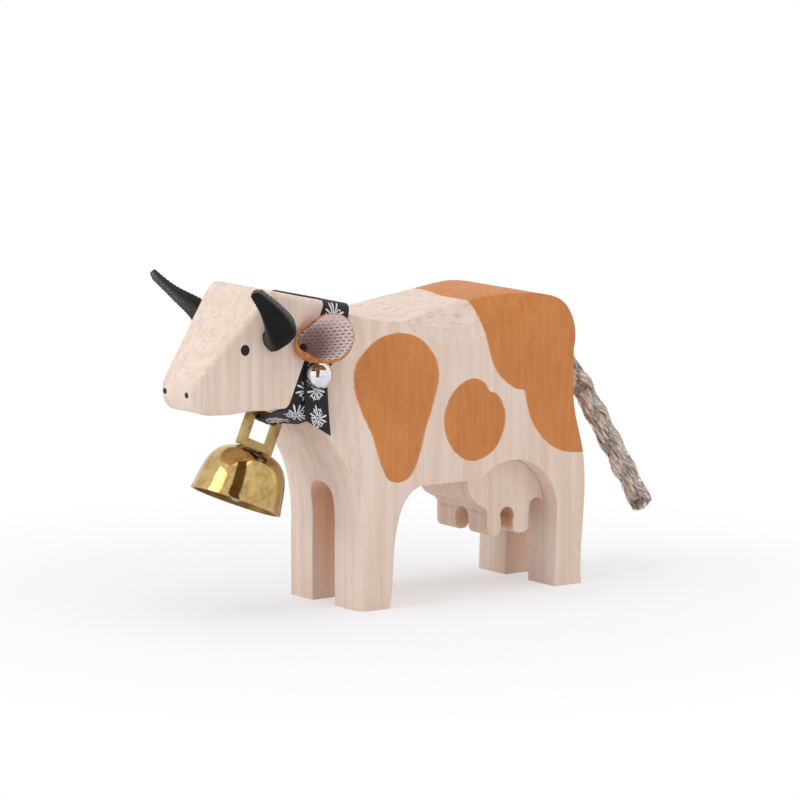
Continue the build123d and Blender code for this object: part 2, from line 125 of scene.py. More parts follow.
def place(x: float, y: float, z: float) -> Vector:
    """A point given in millimetres, in metres."""
    return Vector((x, y, z)) * MM


class Value:
    """A number that a shader works out, which takes sums as a plain number does."""

    def __init__(self, shader: "Shader", socket: Socket) -> None:
        """Hold the socket that gives the number."""
        self.shader, self.socket = shader, socket

    def __add__(self, other: "Feed") -> "Value":
        """Add to it."""
        return self.shader.math("ADD", self, other)

    def __sub__(self, other: "Feed") -> "Value":
        """Take from it."""
        return self.shader.math("SUBTRACT", self, other)

    def __rsub__(self, other: float) -> "Value":
        """Take it from a plain number."""
        return self.shader.math("SUBTRACT", other, self)

    def __mul__(self, other: "Feed") -> "Value":
        """Multiply it."""
        return self.shader.math("MULTIPLY", self, other)

    def __truediv__(self, other: float) -> "Value":
        """Divide it."""
        return self.shader.math("DIVIDE", self, other)


Feed = Union[Value, Socket, float, tuple]


@dataclass(frozen=True)
class Grain:
    """A soft noise: how fine it is along each axis, its octaves and how rough they are."""

    scale: Triple
    detail: float = 2.0
    rough: float = 0.5


class Shader:
    """A material's or the world's nodes, with one short method for each kind that is used."""

    def __init__(self, name: str, world: bool = False) -> None:
        """Start an empty material, or an empty world.

        Args:
            name: The finish's name.
            world: Whether the nodes are a world's.
        """
        self.owner = (bpy.data.worlds if world else bpy.data.materials).new(name)
        self.owner.use_nodes = True
        self.tree = self.owner.node_tree
        self.tree.nodes.clear()

    def node(self, kind: str, feeds: dict, **settings: object) -> bpy.types.Node:
        """Add one node.

        Args:
            kind: The node's type.
            feeds: A number, a colour or a socket for each named or numbered input.
            settings: The node's own properties.

        Returns:
            The new node.
        """
        made = self.tree.nodes.new(kind)
        for key, value in settings.items():
            setattr(made, key, value)
        for key, value in feeds.items():
            value = value.socket if isinstance(value, Value) else value
            if isinstance(value, Socket):
                self.tree.links.new(value, made.inputs[key])
            else:
                made.inputs[key].default_value = value
        return made

    def value(self, kind: str, out: str, feeds: dict, **settings: object) -> Value:
        """Add a node and take the number that it gives."""
        return Value(self, self.node(kind, feeds, **settings).outputs[out])

    def math(self, operation: str, first: Feed, second: Feed = 0.0) -> Value:
        """One sum of one or two numbers."""
        return self.value("ShaderNodeMath", "Value", {0: first, 1: second}, operation=operation)

    def spot(self) -> Socket:
        """The shaded point in the object's own frame, in millimetres."""
        feeds = {0: self.node("ShaderNodeTexCoord", {}).outputs["Object"], "Scale": 1.0 / MM}
        return self.node("ShaderNodeVectorMath", feeds, operation="SCALE").outputs["Vector"]

    def attribute(self, name: str) -> Socket:
        """A vector that the mesh carries."""
        return self.node("ShaderNodeAttribute", {}, attribute_name=name).outputs["Vector"]

    def split(self, vector: Socket) -> list[Value]:
        """A vector's three numbers."""
        return [Value(self, out) for out in self.node("ShaderNodeSeparateXYZ", {0: vector}).outputs]

    def noise(self, vector: Socket, grain: Grain) -> Value:
        """Soft noise from 0 to 1.

        Args:
            vector: The place to take it at.
            grain: What the noise is like.

        Returns:
            The noise.
        """
        stretched = self.node("ShaderNodeVectorMath", {0: vector, 1: grain.scale}, operation="MULTIPLY")
        feeds = {"Vector": stretched.outputs[0], "Scale": 1.0, "Detail": grain.detail, "Roughness": grain.rough}
        return self.value("ShaderNodeTexNoise", "Fac", feeds)

    def step(self, value: Value, low: float, high: float, to_low: float = 0.0, to_high: float = 1.0) -> Value:
        """A smooth change from to_low at low to to_high at high."""
        feeds = {"Value": value, "From Min": low, "From Max": high, "To Min": to_low, "To Max": to_high}
        return self.value("ShaderNodeMapRange", "Result", feeds, interpolation_type="SMOOTHSTEP")

    def fall(self, value: Value, low: float, high: float) -> Value:
        """A smooth change from 1 at low to 0 at high."""
        return self.step(value, low, high, 1.0, 0.0)

    def fraction(self, value: Value) -> Value:
        """A number's part after the point."""
        return self.math("FRACT", value)

    def from_half(self, value: Value) -> Value:
        """How far a number's part after the point is from a half."""
        return self.math("ABSOLUTE", self.fraction(value) - 0.5)

    def away(self, across: Value, up: Value) -> Value:
        """How far a place on a plane is from its middle."""
        return self.math("SQRT", across * across + up * up)

    def openness(self, reach: float, alone: bool) -> Value:
        """How open a place is within a reach, among all pieces or on its own piece alone."""
        settings = {"samples": OPENNESS_SAMPLES, "only_local": alone}
        return self.value("ShaderNodeAmbientOcclusion", "AO", {"Distance": reach * MM}, **settings)

    def curve(self, value: Value, points: Sequence[tuple[float, float]]) -> Value:
        """A smooth line through given points.

        Args:
            value: The place along the line.
            points: The points that it passes through, each number from 0 to 1.

        Returns:
            The line's height there.
        """
        made = self.node("ShaderNodeFloatCurve", {"Value": value})
        line = made.mapping.curves[0]
        for index, point in enumerate(points):
            if index < 2:
                line.points[index].location = point
            else:
                line.points.new(*point)
        made.mapping.update()
        return Value(self, made.outputs["Value"])

    def mix(self, share: Value, low: Feed, high: Feed, blend: str = "MIX") -> Socket:
        """A colour between two others."""
        feeds = {0: share, 6: low, 7: high}
        return self.node("ShaderNodeMix", feeds, data_type="RGBA", blend_type=blend).outputs[2]

    def bump(self, height: Value, depth: float, strength: float) -> Socket:
        """A normal tilted by a height from 0 to 1 over a depth in millimetres."""
        feeds = {"Height": height, "Distance": depth * MM, "Strength": strength}
        return self.node("ShaderNodeBump", feeds).outputs["Normal"]

    def close(self, surface: bpy.types.Node, kind: str = "Material") -> Material:
        """Give the tree its surface and return what it belongs to."""
        self.node(f"ShaderNodeOutput{kind}", {"Surface": surface.outputs[0]})
        return self.owner

    def finish(self, **sockets: Feed) -> Material:
        """Close the tree with a surface whose inputs are named with _ for each space."""
        feeds = {key.replace("_", " "): value for key, value in sockets.items()}
        return self.close(self.node("ShaderNodeBsdfPrincipled", feeds))


@dataclass(frozen=True)
class Patch:
    """A stained patch, as the places of its front and rear edges at rising heights."""

    front: tuple[tuple[float, float], ...]
    rear: tuple[tuple[float, float], ...]


@dataclass(frozen=True)
class Dot:
    """A painted dot, as its middle and half sizes, with y left out where it is on both cheeks."""

    x: float
    y: float | None
    z: float
    half_across: float
    half_high: float


SHOULDER = Patch(
    front=(
        (38.2, 3.2), (38.9, -1.8), (39.3, -4.2), (40.2, -5.7), (42.0, -7.0), (46.6, -9.1), (53.3, -11.4),
        (60.6, -14.3), (66.7, -16.0), (70.3, -16.4), (76.7, -15.1), (80.6, -11.9), (84.2, -7.2),
        (85.4, -2.1), (86.4, 3.0),
    ),
    rear=(
        (38.2, -6.8), (38.9, -1.8), (39.3, 0.6), (40.2, 2.3), (42.0, 3.9), (45.3, 5.6), (54.6, 8.6),
        (63.6, 11.8), (72.2, 13.5), (79.1, 10.5), (84.0, 4.2), (85.4, -2.1), (86.4, -8.0),
    ),
)
BELLY = Patch(
    front=(
        (42.4, 31.0), (42.9, 27.3), (43.3, 24.6), (44.0, 22.9), (45.3, 20.9), (49.1, 17.6), (56.0, 15.4),
        (62.1, 16.9), (66.2, 20.1), (67.6, 22.2), (68.5, 24.3), (68.9, 26.6), (69.3, 31.0),
    ),
    rear=(
        (42.4, 23.4), (42.9, 27.3), (43.3, 30.0), (44.0, 31.8), (46.0, 35.0), (50.3, 38.0), (55.5, 39.3),
        (59.7, 38.3), (63.4, 35.6), (64.2, 33.4), (66.9, 31.4), (67.9, 29.9), (68.6, 28.3), (68.9, 26.6),
        (69.3, 22.4),
    ),
)
RUMP = Patch(
    front=(
        (41.2, 79.0), (41.9, 69.0), (42.3, 64.2), (44.0, 58.9), (46.7, 54.9), (50.7, 51.3), (55.2, 48.7),
        (60.0, 47.3), (62.6, 46.7), (63.6, 46.3), (63.9, 44.4), (64.5, 42.6), (65.8, 40.6), (68.4, 37.4),
        (72.0, 34.7), (76.3, 33.1), (80.5, 31.9), (88.7, 29.6), (92.4, 27.6), (96.0, 26.0),
    ),
    rear=(
        (40.0, 78.0), (97.0, 79.0),
    ),
)
EYE = Dot(-54.4, None, 83.5, 1.35, 1.75)
LEFT_NOSTRIL = Dot(-70.5, -5.9, 70.2, 1.05, 0.95)
RIGHT_NOSTRIL = Dot(-70.5, 5.9, 70.2, 1.05, 0.95)


@dataclass(frozen=True)
class Wood:
    """Pale planed wood with upright fibres, and the stain and paint on it."""

    early: tuple = tint(244, 225, 210)
    late: tuple = tint(224, 192, 165)
    pore: tuple = tint(190, 152, 128)
    stain_light: tuple = tint(213, 137, 73)
    stain_dark: tuple = tint(202, 124, 65)
    stain_rim: tuple = tint(232, 158, 92)
    black: tuple = tint(24, 22, 21)
    # Painted shade: a warm, darker tint multiplied into the wood in its own recesses, such as the slot between
    # the legs.
    recess_shade_tint: tuple = (0.86, 0.62, 0.48, 1.0)
    recess_reach: float = 28.0
    ring_pitch: float = 1.45
    ring_sway: float = 6.0
    ring_waver: float = 0.55
    curve_span: float = 110.0
    curve_start: float = -80.0
    curve_reach: float = 160.0
    open_top: float = 15.0
    far_shift: float = 3.0
    soft_edge: float = 0.16
    edge_wobble: float = 0.7
    nose_depth: float = 1.5
    sway: Grain = Grain((0.03, 0.012, 0.006), 1.0)
    waver: Grain = Grain((0.22, 0.22, 0.02))
    streaks: Grain = Grain((0.42, 0.42, 0.014), 4.0, 0.55)
    fibres: Grain = Grain((4.2, 4.2, 0.14), 3.0, 0.6)
    pores: Grain = Grain((2.6, 2.6, 0.2), 1.0)
    clouds: Grain = Grain((0.035, 0.035, 0.02), 1.0)
    saw_marks: Grain = Grain((0.16, 1.5, 1.5))
    brush: Grain = Grain((0.6, 0.6, 0.07), 4.0, 0.65)
    wear: Grain = Grain((0.06, 0.06, 0.04), 3.0, 0.7)
    wobble: Grain = Grain((0.5, 0.5, 0.5))

    def grain(self, shader: Shader) -> tuple[Socket, Value, Value]:
        """Draw the bare wood.

        Args:
            shader: The nodes to draw with.

        Returns:
            The colour, the upright streaks and the relief.
        """
        spot = shader.spot()
        depth = shader.split(spot)[1] + shader.noise(spot, self.sway) * self.ring_sway
        ring = shader.fraction((depth + shader.noise(spot, self.waver) * self.ring_waver) / self.ring_pitch)
        line = shader.step(ring, 0.35, 0.9) * shader.fall(ring, 0.93, 1.0)
        streak = shader.noise(spot, self.streaks)
        share = line * 0.1 + shader.step(streak, 0.35, 0.7) * 0.45
        share = share + shader.step(shader.noise(spot, self.clouds), 0.35, 0.7) * 0.22
        colour = shader.mix(share, self.early, self.late)
        pores = shader.step(shader.noise(spot, self.pores), 0.66, 0.76)
        colour = shader.mix(pores * 0.3, colour, self.pore)
        upward = shader.split(shader.node("ShaderNodeNewGeometry", {}).outputs["Normal"])[2]
        saw = shader.step(shader.noise(spot, self.saw_marks), 0.56, 0.68)
        colour = shader.mix(shader.step(upward, 0.12, 0.4, 0.0, 0.42) * saw, colour, self.pore)
        return colour, streak, shader.noise(spot, self.fibres) * 0.8 + line * 0.2

    def patch(self, shader: Shader, patch: Patch) -> Value:
        """Draw one patch.

        Args:
            shader: The nodes to draw with.
            patch: The patch's edges.

        Returns:
            How far inside the patch the point is, in millimetres along the cow.
        """
        x, y, z = shader.split(shader.spot())
        along = x - shader.step(y, -4.0, 12.0, 0.0, self.far_shift)
        edges = []
        for edge in (patch.front, patch.rear):
            points = []
            for height, at in edge:
                points.append((height / self.curve_span, (at - self.curve_start) / self.curve_reach))
            edges.append(shader.curve(z / self.curve_span, points) * self.curve_reach + self.curve_start)
        heights = [height for height, _ in patch.front]
        bounds = [edges[1] - along, z - min(heights)]
        if max(heights) < CAD_BOX[1].z / MM - self.open_top:
            bounds.append(max(heights) - z)
        inside = along - edges[0]
        for bound in bounds:
            inside = shader.math("MINIMUM", inside, bound)
        return inside

    def dot(self, shader: Shader, dot: Dot) -> Value:
        """Draw one dot.

        Args:
            shader: The nodes to draw with.
            dot: The dot's middle and half sizes.

        Returns:
            1 on the dot and 0 off it.
        """
        x, y, z = shader.split(shader.spot())
        wide = (x - dot.x if dot.y is None else y - dot.y) / dot.half_across
        tall = (z - dot.z) / dot.half_high
        on = shader.fall(wide * wide + tall * tall, 0.82, 1.05)
        if dot.y is None:
            return on
        return on * shader.fall(x, dot.x + self.nose_depth, dot.x + self.nose_depth + 1.0)

    def material(self, name: str, patches: Sequence[Patch] = (), dots: Sequence[Dot] = ()) -> Material:
        """Make the finish.

        Args:
            name: The material's name.
            patches: The stained patches on it.
            dots: The painted dots on it.

        Returns:
            The material.
        """
        shader = Shader(name)
        colour, streak, relief = self.grain(shader)
        if patches:
            spot = shader.spot()
            brush = shader.step(shader.noise(spot, self.brush), 0.3, 0.72)
            stain = shader.mix(brush, self.stain_dark, self.stain_light)
            worn = shader.step(shader.noise(spot, self.wear), 0.4, 0.75, 0.0, 0.3)
            stain = shader.mix(worn, stain, self.stain_rim)
            wobble = (shader.noise(spot, self.wobble) - 0.5) * self.edge_wobble
            for patch in patches:
                inside = self.patch(shader, patch) + wobble
                paint = shader.mix(shader.fall(inside, 0.25, 0.7) * 0.55, stain, self.stain_rim)
                colour = shader.mix(shader.step(inside, -self.soft_edge, self.soft_edge), colour, paint)
        for dot in dots:
            colour = shader.mix(self.dot(shader, dot), colour, self.black)
        # Painted shade: the wood is darkened and warmed where its own piece closes round it, in the slot and
        # under the belly.
        painted_corner_shade = shader.fall(shader.openness(self.recess_reach, True), 0.36, 0.95)
        colour = shader.mix(painted_corner_shade, colour, self.recess_shade_tint, "MULTIPLY")
        rough = shader.step(streak, 0.3, 0.8, 0.52, 0.66)
        normal = shader.bump(relief, 0.09, 0.35)
        return shader.finish(Base_Color=colour, Roughness=rough, Normal=normal, Specular_IOR_Level=0.35)


@dataclass(frozen=True)
class RibbedLeather:
    """Black leather pressed with fine ribs, grey where its edge is cut."""

    face: tuple = tint(6, 6, 7)
    crest: tuple = tint(27, 27, 28)
    cut: tuple = tint(112, 110, 107)
    mottle: Grain = Grain((1.3, 1.3, 1.3), 4.0, 0.65)
    pebbles: Grain = Grain((9.0, 9.0, 9.0), 3.0)

    def material(self, name: str) -> Material:
        """Make the finish.

        Args:
            name: The material's name.

        Returns:
            The material.
        """
        shader = Shader(name)
        spot = shader.spot()
        rib, edge, _ = shader.split(shader.attribute("leather"))
        mottle = shader.noise(spot, self.mottle)
        colour = shader.mix(rib * mottle, self.face, self.crest)
        colour = shader.mix(edge * shader.step(mottle, 0.3, 0.62, 0.45, 0.95), colour, self.cut)
        rough = shader.step(mottle, 0.3, 0.7, 0.62, 0.8)
        normal = shader.bump(shader.noise(spot, self.pebbles), 0.06, 0.6)
        return shader.finish(Base_Color=colour, Roughness=rough, Normal=normal, Specular_IOR_Level=0.22)


@dataclass(frozen=True)
class TanLeather:
    """Orange-brown leather with a fine grain."""

    light: tuple = tint(214, 140, 72)
    dark: tuple = tint(176, 100, 46)
    cell_scale: float = 2.6
    clouds: Grain = Grain((0.5, 0.5, 0.5), 4.0, 0.6)

    def material(self, name: str) -> Material:
        """Make the finish.

        Args:
            name: The material's name.

        Returns:
            The material.
        """
        shader = Shader(name)
        spot = shader.spot()
        feeds = {"Vector": spot, "Scale": self.cell_scale}
        cells = shader.value("ShaderNodeTexVoronoi", "Distance", feeds, feature="DISTANCE_TO_EDGE")
        crease = shader.fall(cells, 0.0, 0.12)
        share = shader.step(shader.noise(spot, self.clouds), 0.35, 0.7) + crease * 0.35
        colour = shader.mix(share, self.light, self.dark)
        return shader.finish(Base_Color=colour, Roughness=0.55, Normal=shader.bump(1.0 - crease, 0.07, 0.5))


@dataclass(frozen=True)
class KnitLining:
    """Pale lining with staggered rows of brown dashes, drawn on the ear's own flat frame."""

    ground: tuple = tint(232, 216, 213)
    shade: tuple = tint(214, 188, 182)
    dash: tuple = tint(138, 84, 66)
    # Painted shade colour for deep inside the cup, near the stem.
    shaded_hollow: tuple = tint(112, 76, 66)
    row_pitch: float = 1.08
    row_waver: float = 0.55
    dash_pitch: float = 1.75
    waver: Grain = Grain((0.8, 0.8, 0.8))
    flecks: Grain = Grain((2.6, 2.6, 2.6), 3.0)

    def material(self, name: str) -> Material:
        """Make the finish.

        Args:
            name: The material's name.

        Returns:
            The material.
        """
        shader = Shader(name)
        flat = shader.attribute("lining")
        along, across, deep = shader.split(flat)
        rows = (across + shader.noise(flat, self.waver) * self.row_waver) / self.row_pitch
        stagger = shader.fraction(shader.math("FLOOR", rows) * 0.5) * self.dash_pitch
        short_way = shader.fall(shader.from_half(rows), 0.12, 0.27)
        dash = shader.fall(shader.from_half((along + stagger) / self.dash_pitch), 0.22, 0.36) * short_way
        fade = shader.step(across, 2.5, 7.0, 1.0, 0.25)
        loops = shader.math("SINE", along * (2.0 * TURN / self.dash_pitch)) * short_way
        base = shader.mix(shader.step(shader.noise(flat, self.flecks), 0.35, 0.7), self.ground, self.shade)
        colour = shader.mix(dash * fade * 0.9, base, self.dash)
        # Painted shade: the lining darkens towards the stem, deep inside the cup.
        colour = shader.mix(shader.step(deep, 0.1, 0.85, 0.0, 0.85), colour, self.shaded_hollow)
        normal = shader.bump(loops * 0.3 + (0.6 - dash * 0.6), 0.2, 0.7)
        return shader.finish(
            Base_Color=colour, Roughness=0.9, Normal=normal, Sheen_Weight=0.25, Specular_IOR_Level=0.15
        )


@dataclass(frozen=True)
class FlowerRibbon:
    """Black woven ribbon with a row of white alpine star flowers."""

    black: tuple = tint(22, 21, 24)
    thread: tuple = tint(44, 43, 48)
    white: tuple = tint(236, 236, 238)
    flower_pitch: float = 8.5
    first_flower: float = 8.2
    flower_turn: float = 0.37
    petals: float = 13.0
    petal_start: float = 0.75
    petal_end: float = 4.6
    petal_half: float = 0.31
    petal_sway: float = 0.4
    petal_bend: float = 0.09
    petal_short: float = 2.0
    dot_reach: float = 2.7
    dot_half: float = 0.28
    warp_pitch: float = 0.42
    weft_pitch: float = 0.5

    def flowers(self, shader: Shader, along: Value, across: Value) -> Value:
        """Draw the row of flowers.

        Args:
            shader: The nodes to draw with.
            along: The place along the ribbon.
            across: The place across it.

        Returns:
            1 on a flower and 0 off it.
        """
        cells = (along + self.first_flower) / self.flower_pitch
        number = shader.math("FLOOR", cells)
        near = (shader.fraction(cells) - 0.5) * self.flower_pitch
        reach = shader.away(near, across)
        turned = shader.math("ARCTAN2", across, near) / TURN * self.petals + number * self.flower_turn
        seed = shader.node("ShaderNodeCombineXYZ", {0: shader.math("FLOOR", turned), 1: number}).outputs[0]
        vary = shader.value("ShaderNodeTexWhiteNoise", "Value", {"Vector": seed}, noise_dimensions="3D")
        bend = (shader.fraction(vary * 13.7) - 0.5) * self.petal_bend
        middle = bend * reach + (shader.fraction(vary * 7.3) - 0.5) * self.petal_sway + 0.5
        off = shader.math("ABSOLUTE", shader.fraction(turned) - middle)
        sector = reach * (TURN / self.petals)
        half = shader.step(reach, self.petal_start, self.petal_end, 0.65, 1.1) * self.petal_half
        left = self.petal_end - vary * self.petal_short - reach
        edge = off * sector - half * shader.step(left, -0.2, 0.8)
        arms = shader.fall(edge, -0.08, 0.08) * shader.step(left, 0.0, 0.2)
        arms = arms * shader.step(reach, self.petal_start - 0.12, self.petal_start + 0.12)
        spread = shader.away((0.5 - off) * sector, reach - self.dot_reach)
        dots = shader.fall(spread, self.dot_half - 0.06, self.dot_half + 0.06) * shader.step(vary, 0.4, 0.5)
        return shader.math("MAXIMUM", shader.math("MAXIMUM", arms, shader.fall(reach, 0.3, 0.5)), dots)

    def material(self, name: str) -> Material:
        """Make the finish.

        Args:
            name: The material's name.

        Returns:
            The material.
        """
        shader = Shader(name)
        along, across, _ = shader.split(shader.attribute("weave"))
        warp = shader.math("SINE", across * (TURN / self.warp_pitch))
        weave = warp * shader.math("SINE", along * (TURN / self.weft_pitch)) * 0.5 + 0.5
        ragged = shader.step(self.flowers(shader, along, across) * (weave * 0.25 + 0.82), 0.3, 0.6)
        colour = shader.mix(ragged, shader.mix(weave * 0.6, self.black, self.thread), self.white)
        normal = shader.bump(ragged * 0.5 + weave * 0.5, 0.1, 0.6)
        return shader.finish(
            Base_Color=colour, Roughness=0.72, Normal=normal, Sheen_Weight=0.15, Specular_IOR_Level=0.3
        )


@dataclass(frozen=True)
class Hemp:
    """Grey-brown hemp whose fibres run with the rope."""

    light: tuple = tint(252, 243, 230)
    middle: tuple = tint(194, 173, 158)
    # The darkest fibre tone, also laid on as painted shade in the gaps between strands.
    dark: tuple = tint(56, 42, 34)
    hollow_reach: float = 1.6
    fibres: Grain = Grain((0.2, 2.0, 2.0), 3.0, 0.6)
    hairs: Grain = Grain((0.4, 7.0, 7.0), 3.0, 0.65)
    blotches: Grain = Grain((0.5, 0.5, 0.5))

    def material(self, name: str) -> Material:
        """Make the finish.

        Args:
            name: The material's name.

        Returns:
            The material.
        """
        shader = Shader(name)
        lay = shader.attribute("lay")
        share = shader.noise(lay, self.fibres) * 0.7 + shader.noise(lay, self.hairs) * 0.3
        low = shader.mix(shader.step(share, 0.36, 0.47), self.dark, self.middle)
        colour = shader.mix(shader.step(share, 0.48, 0.58), low, self.light)
        blotch = shader.step(shader.noise(lay, self.blotches), 0.5, 0.75, 0.0, 0.2)
        colour = shader.mix(blotch, colour, self.middle)
        # Painted shade: the rope darkens where its strands and fibres close round each other.
        shaded_hollow = shader.step(shader.openness(self.hollow_reach, False), 0.3, 0.8, 0.85, 0.0)
        colour = shader.mix(shaded_hollow, colour, self.dark)
        normal = shader.bump(share, 0.5, 0.9)
        return shader.finish(Base_Color=colour, Roughness=0.92, Normal=normal, Specular_IOR_Level=0.15)


@dataclass(frozen=True)
class Metal:
    """Bare metal with faint polishing marks."""

    clean: tuple
    dull: tuple
    smooth: float
    rough: float
    mark_depth: float
    clouds: Grain = Grain((0.22, 0.22, 0.22), 4.0, 0.6)
    marks: Grain = Grain((1.6, 1.6, 6.0), 3.0, 0.6)

    def material(self, name: str) -> Material:
        """Make the finish.

        Args:
            name: The material's name.

        Returns:
            The material.
        """
        shader = Shader(name)
        spot = shader.spot()
        marks = shader.noise(spot, self.marks)
        colour = shader.mix(shader.step(shader.noise(spot, self.clouds), 0.4, 0.72), self.clean, self.dull)
        rough = shader.step(marks, 0.3, 0.75, self.smooth, self.rough)
        normal = shader.bump(marks, self.mark_depth, 0.35)
        return shader.finish(Base_Color=colour, Metallic=1.0, Roughness=rough, Normal=normal)


POLISHED_BRASS = Metal(tint(206, 177, 116), tint(170, 137, 80), 0.07, 0.16, 0.003)
SATIN_BRASS = Metal(tint(196, 168, 114), tint(150, 120, 74), 0.26, 0.42, 0.05)
# Rougher brass for the cup's inner faces; its darker colour is painted shade inside the cup.
SHADED_DULL_BRASS = Metal(tint(142, 106, 62), tint(112, 80, 44), 0.34, 0.5, 0.05)
CHROME = Metal(tint(238, 238, 240), tint(222, 222, 226), 0.03, 0.07, 0.004)
STEEL = Metal(tint(196, 194, 190), tint(160, 156, 150), 0.2, 0.34, 0.02)


def let_go() -> None:
    """Leave edit mode and deselect everything."""
    if bpy.context.object is not None and bpy.context.object.mode != "OBJECT":
        bpy.ops.object.mode_set(mode="OBJECT")
    bpy.ops.object.select_all(action="DESELECT")


def take(piece: Piece) -> None:
    """Select one piece alone and make it the active one.

    Args:
        piece: The object to select.
    """
    let_go()
    piece.select_set(True)
    bpy.context.view_layer.objects.active = piece


def link(name: str, data: bpy.types.ID) -> Piece:
    """Add an object to the scene.

    Args:
        name: The object's name.
        data: Its mesh, line, lamp or camera.

    Returns:
        The new object.
    """
    piece = bpy.data.objects.new(name, data)
    bpy.context.scene.collection.objects.link(piece)
    return piece


def apply(piece: Piece, kind: str, **settings: object) -> None:
    """Add a modifier and apply it.

    Args:
        piece: The object to change.
        kind: The modifier's type.
        settings: The modifier's own properties.
    """
    take(piece)
    modifier = piece.modifiers.new(kind.title(), kind)
    for key, value in settings.items():
        setattr(modifier, key, value)
    bpy.ops.object.modifier_apply(modifier=modifier.name)


def cover(piece: Piece, materials: Iterable[Material]) -> None:
    """Set a piece's materials, with its faces' numbers kept.

    Args:
        piece: The object to cover.
        materials: Its materials, in the order of its faces' numbers.
    """
    slots = piece.data.materials
    for index, material in enumerate(materials):
        if index < len(slots):
            slots[index] = material
        else:
            slots.append(material)


def ease(piece: Piece, width: float, steps: int, angle: float) -> None:
    """Bevel the edges that turn by more than an angle."""
    apply(piece, "BEVEL", width=width * MM, segments=steps, limit_method="ANGLE", angle_limit=angle)


def dress(piece: Piece, body: Body, materials: Iterable[Material], nodes: Sequence[str] = ()) -> None:
    """Give a finished piece its finish, its body and the nodes that it stands for.

    Args:
        piece: The finished object.
        body: The body that it rides on.
        materials: Its materials, in the order of its faces' numbers.
        nodes: The nodes that it replaces.
    """
    cover(piece, materials)
    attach(piece, body.value)
    if nodes:
        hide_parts(*nodes)
    LOG.info("%s: %d faces on %s", piece.name, len(piece.data.polygons), body.value)


def smooth(piece: Piece) -> None:
    """Shade a piece smooth, with its corners kept sharp."""
    take(piece)
    bpy.ops.object.shade_smooth_by_angle(angle=CORNER_ANGLE)


def unite(pieces: Sequence[Piece], name: str) -> Piece:
    """Join several pieces into one.

    Args:
        pieces: The objects to join.
        name: The joined object's name.

    Returns:
        The joined object.
    """
    take(pieces[0])
    for piece in pieces[1:]:
        piece.select_set(True)
    bpy.ops.object.join()
    pieces[0].name = name
    return pieces[0]


class Ends(Enum):
    """Which ends of a drawn form are closed with a face."""

    OPEN = 0
    LAST = 1
    BOTH = 2


def drawn(name: str, mark: str, rings: Sequence[Ring], ends: Ends, flip: bool = False) -> Piece:
    """Draw a form out ring by ring: a circle whose rim is extruded and set on each next ring.

    Args:
        name: The object's name.
        mark: The name of the vector that each point keeps for the finish to read.
        rings: Each ring's points, in metres, and their vectors.
        ends: Which ends are closed.
        flip: Whether an open form's faces are turned to its other side.

    Returns:
        The drawn object.
    """
    let_go()
    count = len(rings[0][0])
    bpy.ops.mesh.primitive_circle_add(vertices=count, radius=MM, fill_type="NOTHING", location=(0, 0, 0))
    piece = bpy.context.object
    piece.name = name
    bpy.ops.object.mode_set(mode="EDIT")
    mesh = bmesh.from_edit_mesh(piece.data)
    mesh.verts.layers.float_vector.new(mark)
    number = mesh.verts.layers.int.new("number")
    for index, vertex in enumerate(mesh.verts):
        vertex[number] = index
    for index, (ring, marks) in enumerate(rings):
        if index:
            bpy.ops.mesh.extrude_edges_move()
            mesh = bmesh.from_edit_mesh(piece.data)
        layer, number = mesh.verts.layers.float_vector[mark], mesh.verts.layers.int["number"]
        for vertex in mesh.verts:
            if vertex.select:
                vertex.co = ring[vertex[number]]
                vertex[layer] = marks[vertex[number]]
        bmesh.update_edit_mesh(piece.data)
    if ends is not Ends.OPEN:
        bpy.ops.mesh.edge_face_add()
    if ends is Ends.BOTH:
        bpy.ops.mesh.select_all(action="DESELECT")
        bpy.ops.mesh.select_non_manifold(extend=False, use_wire=False, use_multi_face=False, use_verts=False)
        bpy.ops.mesh.edge_face_add()
    bpy.ops.mesh.select_all(action="SELECT")
    bpy.ops.mesh.normals_make_consistent(inside=flip)
    bpy.ops.object.mode_set(mode="OBJECT")
    piece.data.attributes.remove(piece.data.attributes["number"])
    return piece


def turned(name: str, center: Vector, axis: Vector, profile: Profile, steps: int, ends: Ends) -> Piece:
    """A form turned about an axis.

    Args:
        name: The object's name.
        center: The point that the profile's heights are measured from, in metres.
        axis: The direction of the axis.
        profile: Radius and height along the axis, point by point.
        steps: The number of points round each ring.
        ends: Which end rings are closed.

    Returns:
        The turned object.
    """
    side = axis.orthogonal().normalized()
    other = axis.cross(side).normalized()
    angles = [TURN * index / steps for index in range(steps)]
    ways = [side * math.cos(angle) + other * math.sin(angle) for angle in angles]
    rings = []
    for radius, height in profile:
        middle = center + axis * (height * MM)
        rings.append(([middle + way * (radius * MM) for way in ways], [Vector((radius, height, 0.0))] * steps))
    return drawn(name, "turning", rings, ends)


